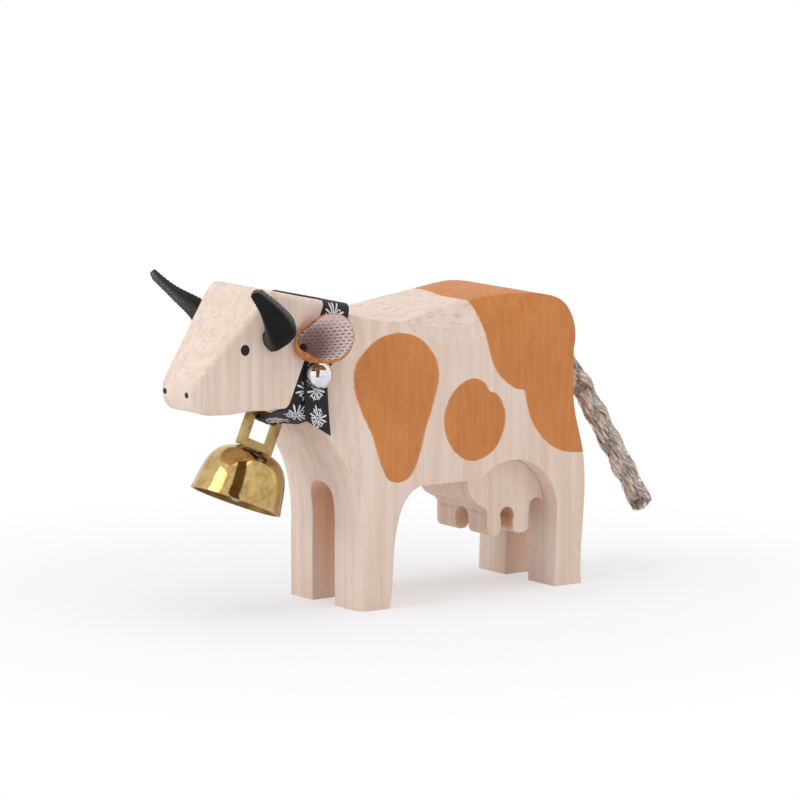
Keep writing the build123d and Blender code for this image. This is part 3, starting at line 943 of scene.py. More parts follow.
@dataclass(frozen=True)
class Snout:
    """The front of the head, which is sanded round by hand."""

    start: float = -52.0
    loose: float = -55.0
    low: Triple = (-72.0, -16.0, 63.0)
    high: Triple = (-52.0, 16.0, 100.0)
    pitch: float = 1.0
    passes: int = 18
    chin: tuple[float, float] = (-60.0, 67.0)
    drop: float = 0.9
    spread: float = 9.0

    def choose(self, piece: Piece, ahead_of: float, below: float = 1000.0) -> None:
        """Select a piece's faces and points.

        Args:
            piece: The object in edit mode.
            ahead_of: The place that they lie ahead of.
            below: The height that they lie below.
        """
        bpy.ops.mesh.select_all(action="DESELECT")
        mesh = bmesh.from_edit_mesh(piece.data)
        for part in (*mesh.verts, *mesh.faces):
            at = part.co if isinstance(part, bmesh.types.BMVert) else part.calc_center_median()
            if at.x < ahead_of * MM and at.z < below * MM:
                part.select = True
        bmesh.update_edit_mesh(piece.data)

    def sand(self, piece: Piece) -> None:
        """Cut the snout into small faces, round it off and fill its chin out.

        Args:
            piece: The object that it is part of.
        """
        take(piece)
        bpy.ops.object.mode_set(mode="EDIT")
        bpy.ops.mesh.select_mode(type="VERT")
        bpy.ops.mesh.select_all(action="SELECT")
        bpy.ops.mesh.bisect(plane_co=place(self.start, 0.0, 0.0), plane_no=(1.0, 0.0, 0.0))
        for axis in range(3):
            facing = [float(index == axis) for index in range(3)]
            for index in range(int((self.high[axis] - self.low[axis]) / self.pitch)):
                self.choose(piece, self.start)
                at = [0.0, 0.0, 0.0]
                at[axis] = self.low[axis] + (index + 0.5) * self.pitch
                bpy.ops.mesh.bisect(plane_co=place(*at), plane_no=facing)
        self.choose(piece, self.loose)
        bpy.ops.mesh.vertices_smooth(factor=0.5, repeat=self.passes)
        self.choose(piece, *self.chin)
        bpy.ops.transform.translate(
            value=(0.0, 0.0, -self.drop * MM), use_proportional_edit=True, proportional_edit_falloff="SMOOTH",
            proportional_size=self.spread * MM,
        )
        bpy.ops.object.mode_set(mode="OBJECT")
        LOG.info("snout rounded: %d faces in %s", len(piece.data.polygons), piece.name)


def eased_copy(node: str, name: str, width: float, steps: int, snout: Snout | None = None) -> Piece:
    """Copy a node's solid with its sharp edges eased.

    Args:
        node: The node's name.
        name: The new object's name.
        width: How far the easing reaches from each edge.
        steps: The number of faces across each eased edge.
        snout: The part that is sanded round first, if there is one.

    Returns:
        The eased copy.
    """
    piece = link(name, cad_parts[node].data.copy())
    take(piece)
    bpy.ops.object.mode_set(mode="EDIT")
    bpy.ops.mesh.select_all(action="SELECT")
    bpy.ops.mesh.remove_doubles(threshold=MERGE * MM)
    bpy.ops.mesh.dissolve_limited(angle_limit=FLAT_ANGLE)
    bpy.ops.object.mode_set(mode="OBJECT")
    if snout is not None:
        snout.sand(piece)
    ease(piece, width, steps, EDGE_ANGLE)
    smooth(piece)
    return piece


def glide(stations: Points, share: float) -> Vector:
    """A point on a smooth line through stations.

    Args:
        stations: The points that the line passes through.
        share: The place on it, from 0 to the number of stations less one.

    Returns:
        The point.
    """
    last = len(stations) - 1
    index = min(int(share), last - 1)
    part = share - index
    before = stations[max(index - 1, 0)]
    here, there = stations[index], stations[index + 1]
    after = stations[min(index + 2, last)]
    lead = (there - before) * 0.5
    trail = (after - here) * 0.5
    square, cube = part * part, part**3
    return (
        here * (2 * cube - 3 * square + 1) + lead * (cube - 2 * square + part)
        + there * (3 * square - 2 * cube) + trail * (cube - square)
    )


@dataclass
class WoodenCow:
    """The sawn body and its glued udder."""

    body_ease: float = 0.8
    udder_ease: float = 0.6
    ease_steps: int = 3

    def build(self) -> None:
        """Make and dress both pieces."""
        wood = Wood()
        body = eased_copy("body_block", "wooden_body", self.body_ease, self.ease_steps, Snout())
        painted = wood.material("painted_wood", (SHOULDER, BELLY, RUMP), (EYE, LEFT_NOSTRIL, RIGHT_NOSTRIL))
        dress(body, Body.COW, [painted], ["body_block"])
        udder = eased_copy("udder_block", "wooden_udder", self.udder_ease, self.ease_steps)
        dress(udder, Body.COW, [wood.material("bare_wood")], ["udder_block"])


def held(share: float) -> float:
    """A share kept from 0 to 1."""
    return min(max(share, 0.0), 1.0)


def eased(share: float) -> float:
    """A share kept from 0 to 1, with a soft start and stop."""
    return held(share) ** 2 * (3 - 2 * held(share))


def sided(side: Side, point: Triple) -> Vector:
    """A place or a direction that is given for the right side, on either side."""
    return Vector((point[0], side.value * point[1], point[2]))


@dataclass
class Horn:
    """A tongue of ribbed leather, bent out of its hole, up and forwards."""

    side: Side
    root: Triple = (-45.2, 16.2, 87.0)
    sunk: float = 5.85
    reach: Triple = (-15.1, 11.6, 16.2)
    path: tuple = ((0.0, 0.06, 0.0), (0.15, 0.56, 0.2), (0.53, 0.93, 0.57), (1.0, 1.0, 1.0))
    across: tuple = ((0.9, 0.0, 0.43), (0.9, 0.05, 0.43), (0.75, 0.62, 0.42), (0.6, 0.95, 0.36), (0.5, 1.0, 0.3))
    widths: tuple[float, ...] = (7.6, 7.9, 9.4, 7.7, 4.0)
    thicknesses: tuple[float, ...] = (7.2, 7.4, 5.2, 2.65, 2.25)
    rib_pitch: float = 1.0
    rib_height: float = 0.2
    rib_steps: int = 4
    rib_start: float = 1.4
    rib_edge: float = 0.7
    tip_round: float = 0.2
    tip_thick: float = 0.7
    corner: float = 0.5
    round_share: float = 0.6
    cut_depth: float = 1.2
    flat_steps: int = 5
    look: float = 0.05

    def section(self, half_width: float, half_thick: float) -> list[Triple]:
        """One cross-section.

        Args:
            half_width: Half its width.
            half_thick: Half its thickness.

        Returns:
            Each point across, through, and 1 on a cut edge.
        """
        cut = min(max(self.corner, half_thick * self.round_share), half_width * 0.6, half_thick * 0.9)
        flat, level = half_width - cut, half_thick - cut
        edge = min(self.cut_depth / half_thick, 1.0)
        rounds = []
        for turn in (0.0, math.pi / 4, math.pi / 2):
            ahead = math.cos(turn)
            rounds.append((flat + cut * ahead, -level - cut * math.sin(turn), edge * ahead**2))
        points = [(-wide, deep, mark) for wide, deep, mark in rounds]
        for index in range(1, self.flat_steps):
            points.append((flat * (2 * index / self.flat_steps - 1), -half_thick, 0.0))
        points += reversed(rounds)
        return points + [(-wide, -thick, mark) for wide, thick, mark in points]

    def rings(self) -> list[Ring]:
        """Lay the cross-sections along the horn.

        Returns:
            The rings, with how high the rib is and how cut the edge is at each point.
        """
        root = sided(self.side, self.root)
        stations = [root - sided(self.side, (0.0, self.sunk, 0.0))]
        for part in self.path:
            stations.append(root + sided(self.side, tuple(share * size for share, size in zip(part, self.reach))))
        across = [sided(self.side, way) for way in self.across]
        sizes = [Vector(size) for size in zip(self.widths, self.thicknesses)]
        last = len(stations) - 1
        length = sum((after - before).length for before, after in zip(stations, stations[1:]))
        count = int(self.rib_steps * length / self.rib_pitch)
        rings = []
        for index in range(count + 1):
            share = last * index / count
            point = glide(stations, share)
            ahead = glide(stations, min(share + self.look, last)) - glide(stations, max(share - self.look, 0.0))
            ahead.normalize()
            flat = glide(across, share)
            flat = (flat - ahead * flat.dot(ahead)).normalized()
            through = ahead.cross(flat)
            left = min((last - share) / self.tip_round, 1.0)
            narrow = math.sqrt(max(1.0 - (1.0 - left) ** 2, 0.02))
            crest = 0.5 - 0.5 * math.cos(TURN * index / self.rib_steps)
            sunk = (1.0 - crest) * self.rib_height * min(share / self.rib_start, 1.0)
            half_width, half_thick = glide(sizes, share) / 2
            thick = (half_thick - sunk) * max(narrow, self.tip_thick)
            outline = self.section((half_width - sunk * self.rib_edge) * narrow, thick)
            ring = [(point + flat * wide + through * deep) * MM for wide, deep, _ in outline]
            rings.append((ring, [Vector((crest, edge, 0.0)) for _, _, edge in outline]))
        return rings

    def build(self) -> None:
        """Make and dress the horn."""
        name = self.side.name.lower()
        piece = drawn(f"{name}_leather_horn", "leather", self.rings(), Ends.BOTH)
        smooth(piece)
        leather = RibbedLeather().material(f"{name}_ribbed_leather")
        dress(piece, Body.COW, [leather], [f"{name}_horn"])


NEAR_HORN = Horn(Side.LEFT)
FAR_HORN = Horn(
    Side.RIGHT, path=((0.0, 0.06, 0.0), (0.15, 0.56, 0.3), (0.53, 0.93, 0.62), (1.0, 1.0, 1.0)),
    widths=(7.6, 7.9, 6.8, 6.5, 5.2),
)


@dataclass
class Ear:
    """A cup of rolled leather with a knitted lining, on a stem let into the head."""

    side: Side
    root: Triple = (-35.4, 16.7, 83.0)
    rim: Triple = (-29.6, 21.9, 86.0)
    facing: Triple = (-0.4, 0.9, 0.17)
    stem_radius: float = 2.25
    rim_radius: float = 8.2
    sunk: float = 6.2
    wall: float = 1.0
    wall_ease: float = 0.25
    belly: float = 0.62
    rim_shares: tuple[float, ...] = (1.0, 1.0, 0.9, 0.88, 1.16, 0.86, 0.93, 0.98)
    steps: int = 48
    ring_count: int = 14

    def outline(self, angle: float, share: float) -> float:
        """How far the cup reaches, towards its uneven rim.

        Args:
            angle: The angle round the cup.
            share: The place between stem and rim, from 0 to 1.

        Returns:
            The reach as a share of the cup's radius.
        """
        count = len(self.rim_shares)
        turn = angle / TURN * count
        index = int(turn)
        part = eased(turn - index)
        rim = self.rim_shares[index % count] * (1 - part) + self.rim_shares[(index + 1) % count] * part
        return 1.0 + share * (rim - 1.0)

    def rings(self) -> list[Ring]:
        """Open the cup from stem to rim.

        Returns:
            The rings, with each point's place on the rim's flat frame and its depth.
        """
        root, rim = sided(self.side, self.root), sided(self.side, self.rim)
        facing = sided(self.side, self.facing).normalized()
        out = sided(self.side, (0.0, 1.0, 0.0))
        angles = [TURN * index / self.steps for index in range(self.steps)]
        stations = [(root - out * self.sunk, out, self.stem_radius, 0.0), (root, out, self.stem_radius, 0.0)]
        for index in range(1, self.ring_count + 1):
            share = index / self.ring_count
            radius = self.stem_radius + (self.rim_radius - self.stem_radius) * share**self.belly
            stations.append((root.lerp(rim, share), out.lerp(facing, share).normalized(), radius, share))

        def ways(axis: Vector) -> list[Vector]:
            """The level and the upright way across an axis."""
            return [(way - axis * way.dot(axis)).normalized() for way in (LEVEL, UPRIGHT)]

        rim_along, rim_up = ways(facing)
        rings = []
        for middle, axis, radius, share in stations:
            along, upward = ways(axis)
            points = []
            for angle in angles:
                reach = radius * self.outline(angle, share)
                points.append(middle + along * (reach * math.cos(angle)) + upward * (reach * math.sin(angle)))
            marks = [Vector(((p - rim).dot(rim_along), (p - rim).dot(rim_up), 1.0 - share)) for p in points]
            rings.append(([point * MM for point in points], marks))
        return rings

    def build(self) -> None:
        """Make and dress the ear."""
        name = self.side.name.lower()
        piece = drawn(f"{name}_leather_ear", "lining", self.rings(), Ends.OPEN, flip=True)
        finishes = [TanLeather().material(f"{name}_tan_leather"), KnitLining().material(f"{name}_knit_lining")]
        cover(piece, finishes)
        apply(piece, "SOLIDIFY", thickness=self.wall * MM, offset=-1.0, material_offset=1, material_offset_rim=0)
        ease(piece, self.wall_ease, 2, RIM_ANGLE)
        smooth(piece)
        dress(piece, Body.COW, finishes, [f"{name}_ear"])


@dataclass
class Collar:
    """The flowered ribbon round the neck with its free end, and the nail that holds it."""

    center: Triple = (-27.5, 0.0, 80.15)
    back: Triple = (0.917755, 0.0, -0.397148)
    up: Triple = (0.397148, 0.0, 0.917755)
    half: float = 14.4
    top: float = 15.95
    knee: float = 19.0
    foot_half: float = 2.05
    foot: float = 23.82
    corner: float = 3.4
    foot_corner: float = 2.6
    corner_steps: int = 8
    width: float = 10.6
    waist_width: float = 6.6
    waist_ahead: float = 1.6
    waist_half: float = 4.0
    waist_taper: float = 5.0
    pucker: float = 0.22
    pucker_pitch: float = 2.6
    rear_lift: float = 1.9
    lift_from: float = 6.0
    thickness: float = 0.5
    seam: float = -9.5
    lap: float = 9.0
    lap_out: float = 0.3
    loop_faces: tuple[int, int] = (220, 10)
    end_top: Triple = (-25.38, -14.75, 77.7)
    end_width: float = 8.4
    end_length: float = 22.4
    end_cut: float = 5.2
    end_lean: float = 4.8
    end_curl: float = 0.5
    end_flower: float = 16.8
    end_count: int = 16
    end_faces: tuple[int, int] = (40, 12)
    nail: Triple = (-29.375, -15.77, 74.2)
    nail_profile: Profile = (
        (0.85, 9.9), (0.85, 0.0), (4.15, 0.0), (4.42, -0.16), (4.5, -0.45), (4.5, -0.9), (4.43, -1.68),
        (4.23, -2.44), (3.9, -3.15), (3.45, -3.79), (2.89, -4.35), (2.25, -4.8), (1.54, -5.13), (0.78, -5.33),
        (0.2, -5.4),
    )
    nail_steps: int = 48

    def route(self) -> list[Vector]:
        """Lead the ribbon round the neck, from the nail's side over the top and back.

        Returns:
            The line's points, sideways and up.
        """
        corners = [
            (-self.half, self.top, self.corner), (self.half, self.top, self.corner),
            (self.half, -self.knee, self.corner), (self.foot_half, -self.foot, self.foot_corner),
            (-self.foot_half, -self.foot, self.foot_corner), (-self.half, -self.knee, self.corner),
        ]
        start = Vector((-self.half, self.seam))
        stops = [start, *(Vector(corner[:2]) for corner in corners), start]
        line = [start]
        for index, (_, _, radius) in enumerate(corners):
            before, corner, after = stops[index : index + 3]
            run_in, run_out = (corner - before).normalized(), (after - corner).normalized()
            reach = radius * math.tan(run_in.angle(run_out) / 2)
            first, last = corner - run_in * reach, corner + run_out * reach
            for step in range(self.corner_steps + 1):
                share = step / self.corner_steps
                line.append(first.lerp(corner, share).lerp(corner.lerp(last, share), share))
        return line + [Vector((-self.half - self.thickness * self.lap_out, self.seam + self.lap))]

    def strip(self, name: str, length: float, faces: tuple[int, int]) -> Piece:
        """A flat strip with its own length and width kept as marks.

        Args:
            name: The object's name.
            length: The strip's length.
            faces: The number of faces along it and across it.

        Returns:
            The strip.
        """
        let_go()
        bpy.ops.mesh.primitive_grid_add(x_subdivisions=faces[0], y_subdivisions=faces[1], size=1.0)
        piece = bpy.context.object
        piece.name = name
        marks = piece.data.attributes.new("weave", "FLOAT_VECTOR", "POINT")
        for vertex in piece.data.vertices:
            marks.data[vertex.index].vector = ((vertex.co.x + 0.5) * length, vertex.co.y * self.width, 0.0)
        return piece

    def loop(self) -> tuple[Piece, float]:
        """Wrap the loop round the neck.

        Returns:
            The loop and its length.
        """
        line = self.route()
        runs = [(after - before).length for before, after in zip(line, line[1:])]
        length = sum(runs)
        piece = self.strip("ribbon_loop", length, self.loop_faces)
        center, back, up = Vector(self.center), Vector(self.back), Vector(self.up)
        marks = piece.data.attributes["weave"].data
        waist = self.waist_width / self.width
        for vertex in piece.data.vertices:
            left, across, _ = marks[vertex.index].vector
            index = 0
            while index < len(runs) - 1 and left > runs[index]:
                left -= runs[index]
                index += 1
            at = line[index].lerp(line[index + 1], left / runs[index])
            share = eased((abs(at.x) - self.waist_half) / self.waist_taper) if at.y < -self.knee else 1.0
            shift = across * (waist + (1 - waist) * share) - (1 - share) * self.waist_ahead
            rise = (1 - share) * self.pucker * math.cos(across * TURN / self.pucker_pitch)
            high = held((at.y - self.lift_from) / (self.top - self.lift_from))
            rise += self.rear_lift * high * high * (across / self.width + 0.5)
            vertex.co = (center + Vector((0.0, at.x, 0.0)) + up * (at.y + rise) + back * shift) * MM
        return piece, length

    def free_end(self) -> Piece:
        """Hang the free end from the nail, with a flower at a set drop.

        Returns:
            The free end.
        """
        finish = FlowerRibbon()
        start = (self.end_count + 0.5) * finish.flower_pitch - finish.first_flower - self.end_flower
        piece = self.strip("ribbon_end", self.end_length, self.end_faces)
        top = Vector(self.end_top)
        slope = math.tan(math.radians(self.end_lean))
        marks = piece.data.attributes["weave"].data
        for vertex in piece.data.vertices:
            along, across, _ = marks[vertex.index].vector
            share = across / self.width + 0.5
            drop = along / self.end_length * (self.end_length - self.end_cut * share)
            out = drop * slope + self.end_curl * max(drop / self.end_length - 0.5, 0.0) ** 2 * 4
            vertex.co = (top + Vector((-share * self.end_width, -out, -drop))) * MM
            marks[vertex.index].vector = (start + drop, -across, 0.0)
        return piece

    def build(self) -> None:
        """Make and dress the ribbon and the nail."""
        loop, length = self.loop()
        ribbon = unite([loop, self.free_end()], "flower_ribbon")
        apply(ribbon, "SOLIDIFY", thickness=self.thickness * MM, offset=0.0)
        smooth(ribbon)
        dress(ribbon, Body.COW, [FlowerRibbon().material("flower_ribbon")], ["collar_ribbon"])
        inward = Vector((0.0, 1.0, 0.0))
        nail = turned("domed_nail", place(*self.nail), inward, self.nail_profile, self.nail_steps, Ends.BOTH)
        smooth(nail)
        dress(nail, Body.COW, [CHROME.material("bright_chrome")], ["collar_nail"])


@dataclass
class Bell:
    """The bell cup, its handle and its clapper."""

    bar: Triple = (-37.686, 0.0, 60.641)
    up: Triple = (0.397148, 0.0, 0.917755)
    outside: Profile = (
        (1.6, -11.1), (3.9, -11.1), (5.2, -11.26), (6.9, -11.75), (8.4, -12.45), (9.7, -13.35), (10.85, -14.6),
        (11.7, -15.9), (12.31, -17.2), (12.85, -18.9), (13.25, -20.6), (13.58, -22.3), (13.82, -24.0),
        (14.02, -25.5), (14.3, -26.9), (14.42, -27.7), (14.35, -28.04), (14.1, -28.1),
    )
    inside: Profile = (
        (13.7, -28.1), (13.45, -27.95), (13.32, -27.4), (13.1, -25.8), (12.85, -24.0), (12.55, -22.3),
        (12.0, -20.0), (11.2, -17.5), (10.2, -15.7), (8.8, -14.1), (7.0, -12.9), (5.0, -12.25), (3.6, -12.1),
        (1.6, -12.1),
    )
    steps: int = 96
    handle_ease: float = 0.45
    ease_steps: int = 3

    def cup(self) -> Piece:
        """Turn the cup and join its inner and outer faces at the hole for the stem.

        Returns:
            The cup, with its inner faces numbered for a duller finish whose darker colour is painted shade.
        """
        bar, up = place(*self.bar), Vector(self.up)
        cup = turned("brass_cup", bar, up, self.outside + self.inside, self.steps, Ends.OPEN)
        take(cup)
        bpy.ops.object.mode_set(mode="EDIT")
        bpy.ops.mesh.select_all(action="DESELECT")
        bpy.ops.mesh.select_non_manifold(extend=False)
        bpy.ops.mesh.bridge_edge_loops()
        bpy.ops.mesh.select_all(action="SELECT")
        bpy.ops.mesh.normals_make_consistent(inside=False)
        bpy.ops.object.mode_set(mode="OBJECT")
        for face in cup.data.polygons:
            away = face.center - bar
            sideways = (away - up * away.dot(up)).normalized()
            # Faces on the inside of the cup take the darker brass, whose colour is painted shade.
            shaded_hollow = face.normal.dot(sideways) < -0.1 or face.normal.dot(up) < -0.5
            face.material_index = int(shaded_hollow and away.dot(up) > self.inside[0][1] * MM)
        smooth(cup)
        return cup

    def build(self) -> None:
        """Make and dress the bell, and dress the clapper's own nodes."""
        # The inner faces take a duller brass whose darker colour is painted shade inside the cup.
        finishes = [POLISHED_BRASS.material("polished_brass"), SHADED_DULL_BRASS.material("shaded_dull_brass")]
        dress(self.cup(), Body.BELL, finishes, ["bell_cup"])
        handle = eased_copy("bell_handle", "brass_handle", self.handle_ease, self.ease_steps)
        dress(handle, Body.BELL, [SATIN_BRASS.material("satin_brass")], ["bell_handle"])
        steel = STEEL.material("clapper_steel_finish")
        for name in ("clapper_wire", "clapper_ball"):
            cover(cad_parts[name], [steel])
            LOG.info("%s keeps its own shape", name)


@dataclass
class Tail:
    """The rope of three plaited strands, with loose fibres and a cut end."""

    route: tuple[Triple, ...] = (
        (58.3, 0.0, 75.6), (70.5, 0.0, 72.6), (81.5, 0.0, 64.5), (95.5, 0.0, 42.0), (109.6, 0.0, 18.6),
    )
    route_steps: int = 40
    leaves: float = 65.6
    diameter: float = 7.8
    strands: int = 3
    lay_length: float = 34.0
    strand_radius: float = 2.2
    swing: float = 1.55
    weave: float = 1.0
    twist: float = 0.16
    ragged: float = 0.13
    points_round: int = 20
    fibres: int = 1100
    end_fibres: int = 500
    fibre_half: float = 0.085
    fibre_bends: tuple = ((0.0, 0.0, 1.0), (0.35, 0.1, 0.95), (0.7, 0.34, 0.75), (1.0, 0.72, 0.35))
    fibre_bow: float = 0.3
    fibre_reach: tuple[float, float] = (1.8, 4.2)
    fibre_depth: tuple[float, float] = (0.88, 1.0)
    fibre_sway: float = 0.45
    fibre_dip: float = -0.2
    fibre_lift: float = 0.35
    forward_share: float = 0.7
    loose_share: float = 0.05
    cut_reach: tuple[float, float] = (-0.2, 0.45)
    cut_zone: float = 6.0
    cut_frame: int = -4
    half_sizes: tuple[float, float] = (3.0, 3.55)
    seed: int = 11

    def line(self) -> list[Vector]:
        """Read the rope's middle line from a smooth spline on the route.

        Returns:
            The line's points.
        """
        data = bpy.data.curves.new("rope_line", "CURVE")
        data.dimensions = "3D"
        data.resolution_u = self.route_steps
        spline = data.splines.new("NURBS")
        spline.points.add(len(self.route) - 1)
        for point, at in zip(spline.points, self.route):
            point.co = (*place(*at), 1.0)
        spline.order_u = 3
        spline.use_endpoint_u = True
        guide = link("rope_line", data)
        bpy.context.view_layer.update()
        mesh = bpy.data.meshes.new_from_object(guide.evaluated_get(bpy.context.evaluated_depsgraph_get()))
        points = [vertex.co / MM for vertex in mesh.vertices]
        bpy.data.objects.remove(guide)
        bpy.data.meshes.remove(mesh)
        return points

    def frames(self, line: Points) -> list[Station]:
        """Follow the rope's line.

        Args:
            line: The line's points.

        Returns:
            Each point with its two cross directions and its length so far.
        """
        out = []
        sideways = Vector((0.0, 1.0, 0.0))
        length = 0.0
        for index, point in enumerate(line):
            ahead = (line[min(index + 1, len(line) - 1)] - line[max(index - 1, 0)]).normalized()
            length += (point - line[index - 1]).length if index else 0.0
            out.append((point, sideways, ahead.cross(sideways).normalized(), length))
        return out

    def strand(self, frames: Sequence[Station], number: int) -> Piece:
        """One strand, plaited along the line.

        Args:
            frames: The line's points and directions.
            number: Which strand it is.

        Returns:
            The strand.
        """
        rings = []
        for point, side, other, length in frames:
            turn = TURN * (length / self.lay_length + number / self.strands)
            shift = Vector((self.weave * math.sin(2.0 * turn), self.swing * math.cos(turn)))
            ring, marks = [], []
            for index in range(self.points_round):
                angle = TURN * index / self.points_round
                spun = angle + self.twist * length
                yarn = Vector((math.cos(spun), math.sin(spun)))
                rough = noise.noise(Vector((length * 0.3, 2.2 * yarn.x + 9.0 * number, 2.2 * yarn.y)))
                rough += 0.5 * noise.noise(Vector((length * 0.6, 6.0 * yarn.x + 5.0 * number, 6.0 * yarn.y)))
                reach = self.strand_radius * (1.0 + self.ragged * rough)
                at = shift + Vector((math.cos(angle), math.sin(angle))) * reach
                ring.append((point + side * at.x + other * at.y) * MM)
                yarn *= self.strand_radius
                marks.append(Vector((length + 40.0 * number, yarn.x, yarn.y)))
            rings.append((ring, marks))
        return drawn(f"rope_strand_{number}", "lay", rings, Ends.BOTH)

    def fibre(self) -> Piece:
        """Draw one loose fibre, bent to one side.

        Returns:
            The fibre, one unit long.
        """
        angles = [TURN * index / 3 for index in range(3)]
        ways = [Vector((math.cos(angle), math.sin(angle), 0.0)) * self.fibre_half for angle in angles]
        rings = []
        for along, off, thick in self.fibre_bends:
            middle = Vector((off * self.fibre_bow, 0.0, along))
            rings.append(([middle + way * thick for way in ways], [Vector((along * 2.0, off, 0.0))] * 3))
        return drawn("rope_fibre", "lay", rings, Ends.LAST)

    def fuzz(self, frames: Sequence[Station]) -> Piece:
        """The loose fibres that stand off the rope and fill its cut end.

        Args:
            frames: The line's points and directions.

        Returns:
            The fibres as one piece.
        """
        draw = random.Random(self.seed)
        first = self.fibre()
        source = first.data.copy()
        shown = [entry for entry in frames if entry[0].x > self.leaves]
        end = frames[-1][3]
        copies = []
        for index in range(self.fibres + self.end_fibres):
            cut = index >= self.fibres
            point, side, other, length = frames[self.cut_frame] if cut else draw.choice(shown)
            ahead = side.cross(other).normalized()
            angle = draw.uniform(0.0, TURN)
            outward = side * math.cos(angle) + other * math.sin(angle)
            round_way = side * -math.sin(angle) + other * math.cos(angle)
            forward = cut or end - length > self.cut_zone and draw.random() < self.forward_share
            ahead = ahead if forward else -ahead
            lift = self.fibre_lift if draw.random() < self.loose_share else 0.0
            reach = end - length + draw.uniform(*self.cut_reach) if cut else draw.uniform(*self.fibre_reach)
            lead = ahead + round_way * draw.uniform(-self.fibre_sway, self.fibre_sway)
            lead += outward * draw.uniform(self.fibre_dip, lift)
            lead = ahead if cut else lead.normalized()
            depth = math.sqrt(draw.random()) if cut else draw.uniform(*self.fibre_depth)
            across = (outward - lead * outward.dot(lead)).normalized()
            turn = Matrix((across, lead.cross(across), lead)).transposed().to_4x4()
            start = side * (math.cos(angle) * self.half_sizes[0]) + other * (math.sin(angle) * self.half_sizes[1])
            copy = link("rope_fibre", source.copy()) if index else first
            move = Matrix.Translation((point + start * depth) * MM)
            copy.data.transform(move @ turn @ Matrix.Diagonal((MM, MM, MM * reach, 1.0)))
            for mark in copy.data.attributes["lay"].data:
                mark.vector = (mark.vector[0] + index * 3.0, mark.vector[1], index * 0.7)
            copies.append(copy)
        return unite(copies, "rope_fibres")

    def build(self) -> None:
        """Make and dress the rope."""
        line = self.line()
        frames = self.frames(line)
        rope = unite([self.strand(frames, number) for number in range(self.strands)], "hemp_rope")
        smooth(rope)
        hemp = Hemp().material("hemp")
        fuzz = self.fuzz(frames)
        dress(rope, Body.COW, [hemp], ["tail_rope"])
        dress(fuzz, Body.COW, [hemp])
        length = frames[-1][-1]
        length * MM


@dataclass(frozen=True)
class Lamp:
    """A soft lamp: its place and size in metres, its power in watts, and whether bright metal mirrors it."""

    name: str
    at: Triple
    size: tuple[float, float]
    power: float
    hue: Triple = (1.0, 1.0, 1.0)
    mirrored: bool = True

    def hang(self, target: Vector) -> None:
        """Hang the lamp.

        Args:
            target: The place that it points at.
        """
        data = bpy.data.lights.new(self.name, "AREA")
        data.shape = "RECTANGLE"
        data.size, data.size_y = self.size
        data.energy = self.power
        data.color = self.hue
        lamp = link(self.name, data)
        lamp.location = self.at
        lamp.visible_glossy = self.mirrored
        lamp.rotation_euler = (target - Vector(self.at)).to_track_quat("-Z", "Y").to_euler()


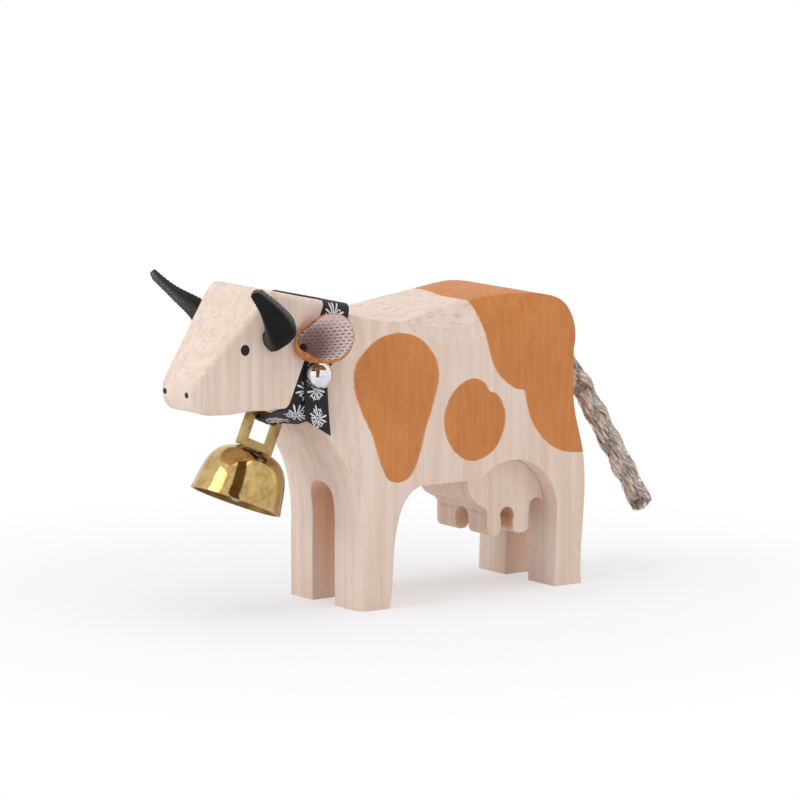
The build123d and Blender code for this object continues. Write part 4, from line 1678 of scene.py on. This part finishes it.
@dataclass
class Studio:
    """The camera, the pale floor, the lamps and the white surroundings."""

    azimuth: float = -35.9285
    elevation: float = 8.4363
    distance: float = 1633.87
    target: Triple = (13.18, 0.0, 60.86)
    lens: float = 236.47
    sensor: float = 36.0
    clip_end: float = 100.0
    lamps: tuple[Lamp, ...] = (
        Lamp("top_lamp", (-0.15, -0.1, 1.5), (1.4, 1.4), 7.4, (0.94, 0.98, 1.0)),
        Lamp("left_lamp", (-1.45897, 0.20212, 0.8527), (0.9, 1.1), 8.1),
        Lamp("right_lamp", (0.6, -0.95, 0.5), (0.9, 1.1), 2.0, (1.0, 0.9, 0.78), mirrored=False),
    )
    floor_radius: float = 4.0
    floor_steps: int = 96
    floor_tint: tuple = tint(252, 251, 254)
    floor_glow: float = 0.42
    floor_fade: tuple[float, float] = (50.0, 220.0)
    ambient: float = 0.53
    ambient_tint: tuple = tint(248, 250, 255)
    card_at: Triple = (-0.16, -0.165, 0.2)
    card_size: tuple[float, float] = (0.115, 0.42)
    card_tint: tuple = tint(128, 104, 80)

    def camera(self) -> None:
        """Set up the camera."""
        turn, rise = math.radians(self.azimuth), math.radians(self.elevation)
        level = Vector((-math.sin(turn), math.cos(turn), 0.0))
        ahead = level * math.cos(rise) - UPRIGHT * math.sin(rise)
        data = bpy.data.cameras.new("camera")
        data.lens = self.lens
        data.sensor_width = self.sensor
        data.clip_end = self.clip_end
        camera = link("camera", data)
        camera.location = place(*self.target) - ahead * (self.distance * MM)
        camera.rotation_euler = ahead.to_track_quat("-Z", "Y").to_euler()
        bpy.context.scene.camera = camera

    def floor(self) -> None:
        """Lay the floor, which fades to white for the camera away from the cow."""
        let_go()
        bpy.ops.mesh.primitive_circle_add(vertices=self.floor_steps, radius=self.floor_radius, fill_type="NGON")
        floor = bpy.context.object
        floor.name = "floor"
        shader = Shader("pale_floor")
        x, y, _ = shader.split(shader.spot())
        seen = shader.value("ShaderNodeLightPath", "Is Camera Ray", {})
        share = seen * shader.step(shader.away(x, y), *self.floor_fade, self.floor_glow, 1.0)
        paper = shader.node("ShaderNodeBsdfDiffuse", {"Color": self.floor_tint})
        glow = shader.node("ShaderNodeEmission", {"Color": WHITE, "Strength": 1.0})
        both = shader.node("ShaderNodeMixShader", {0: share, 1: paper.outputs[0], 2: glow.outputs[0]})
        floor.data.materials.append(shader.close(both))

    def dark_card(self) -> None:
        """Stand a dark card where bright metal sees it and nothing else does."""
        let_go()
        bpy.ops.mesh.primitive_plane_add(size=1.0)
        card = bpy.context.object
        card.name = "dark_card"
        at = Vector(self.card_at)
        turn = (place(*self.target) - at).to_track_quat("Z", "Y").to_matrix().to_4x4()
        card.data.transform(Matrix.Translation(at) @ turn @ Matrix.Diagonal((*self.card_size, 1.0, 1.0)))
        shader = Shader("dark_card")
        card.data.materials.append(shader.close(shader.node("ShaderNodeBsdfDiffuse", {"Color": self.card_tint})))
        card.visible_camera = False
        card.visible_diffuse = False
        card.visible_shadow = False

    def surroundings(self) -> None:
        """White all round for the camera and for metal, and a soft light from everywhere."""
        shader = Shader("white_studio", world=True)
        path = shader.node("ShaderNodeLightPath", {}).outputs
        seen = Value(shader, path["Is Camera Ray"])
        for ray in ("Is Glossy Ray", "Is Transmission Ray"):
            seen = shader.math("MAXIMUM", seen, path[ray])
        soft = shader.node("ShaderNodeBackground", {"Color": self.ambient_tint, "Strength": self.ambient})
        white = shader.node("ShaderNodeBackground", {"Color": WHITE, "Strength": 1.0})
        both = shader.node("ShaderNodeMixShader", {0: seen, 1: soft.outputs[0], 2: white.outputs[0]})
        bpy.context.scene.world = shader.close(both, "World")

    def build(self) -> None:
        """Set up everything round the cow."""
        bpy.context.scene.view_settings.view_transform = "Standard"
        self.camera()
        self.surroundings()
        self.floor()
        for lamp in self.lamps:
            lamp.hang(place(*self.target))
        self.dark_card()
        LOG.info("studio ready")


def main() -> None:
    """Build the studio and the cow."""
    logging.basicConfig(level=logging.INFO, format="%(message)s")
    for maker in (Studio(), Tail(), WoodenCow(), NEAR_HORN, FAR_HORN, *map(Ear, Side), Collar(), Bell()):
        maker.build()
    let_go()


if __name__ == "__main__":
    main()
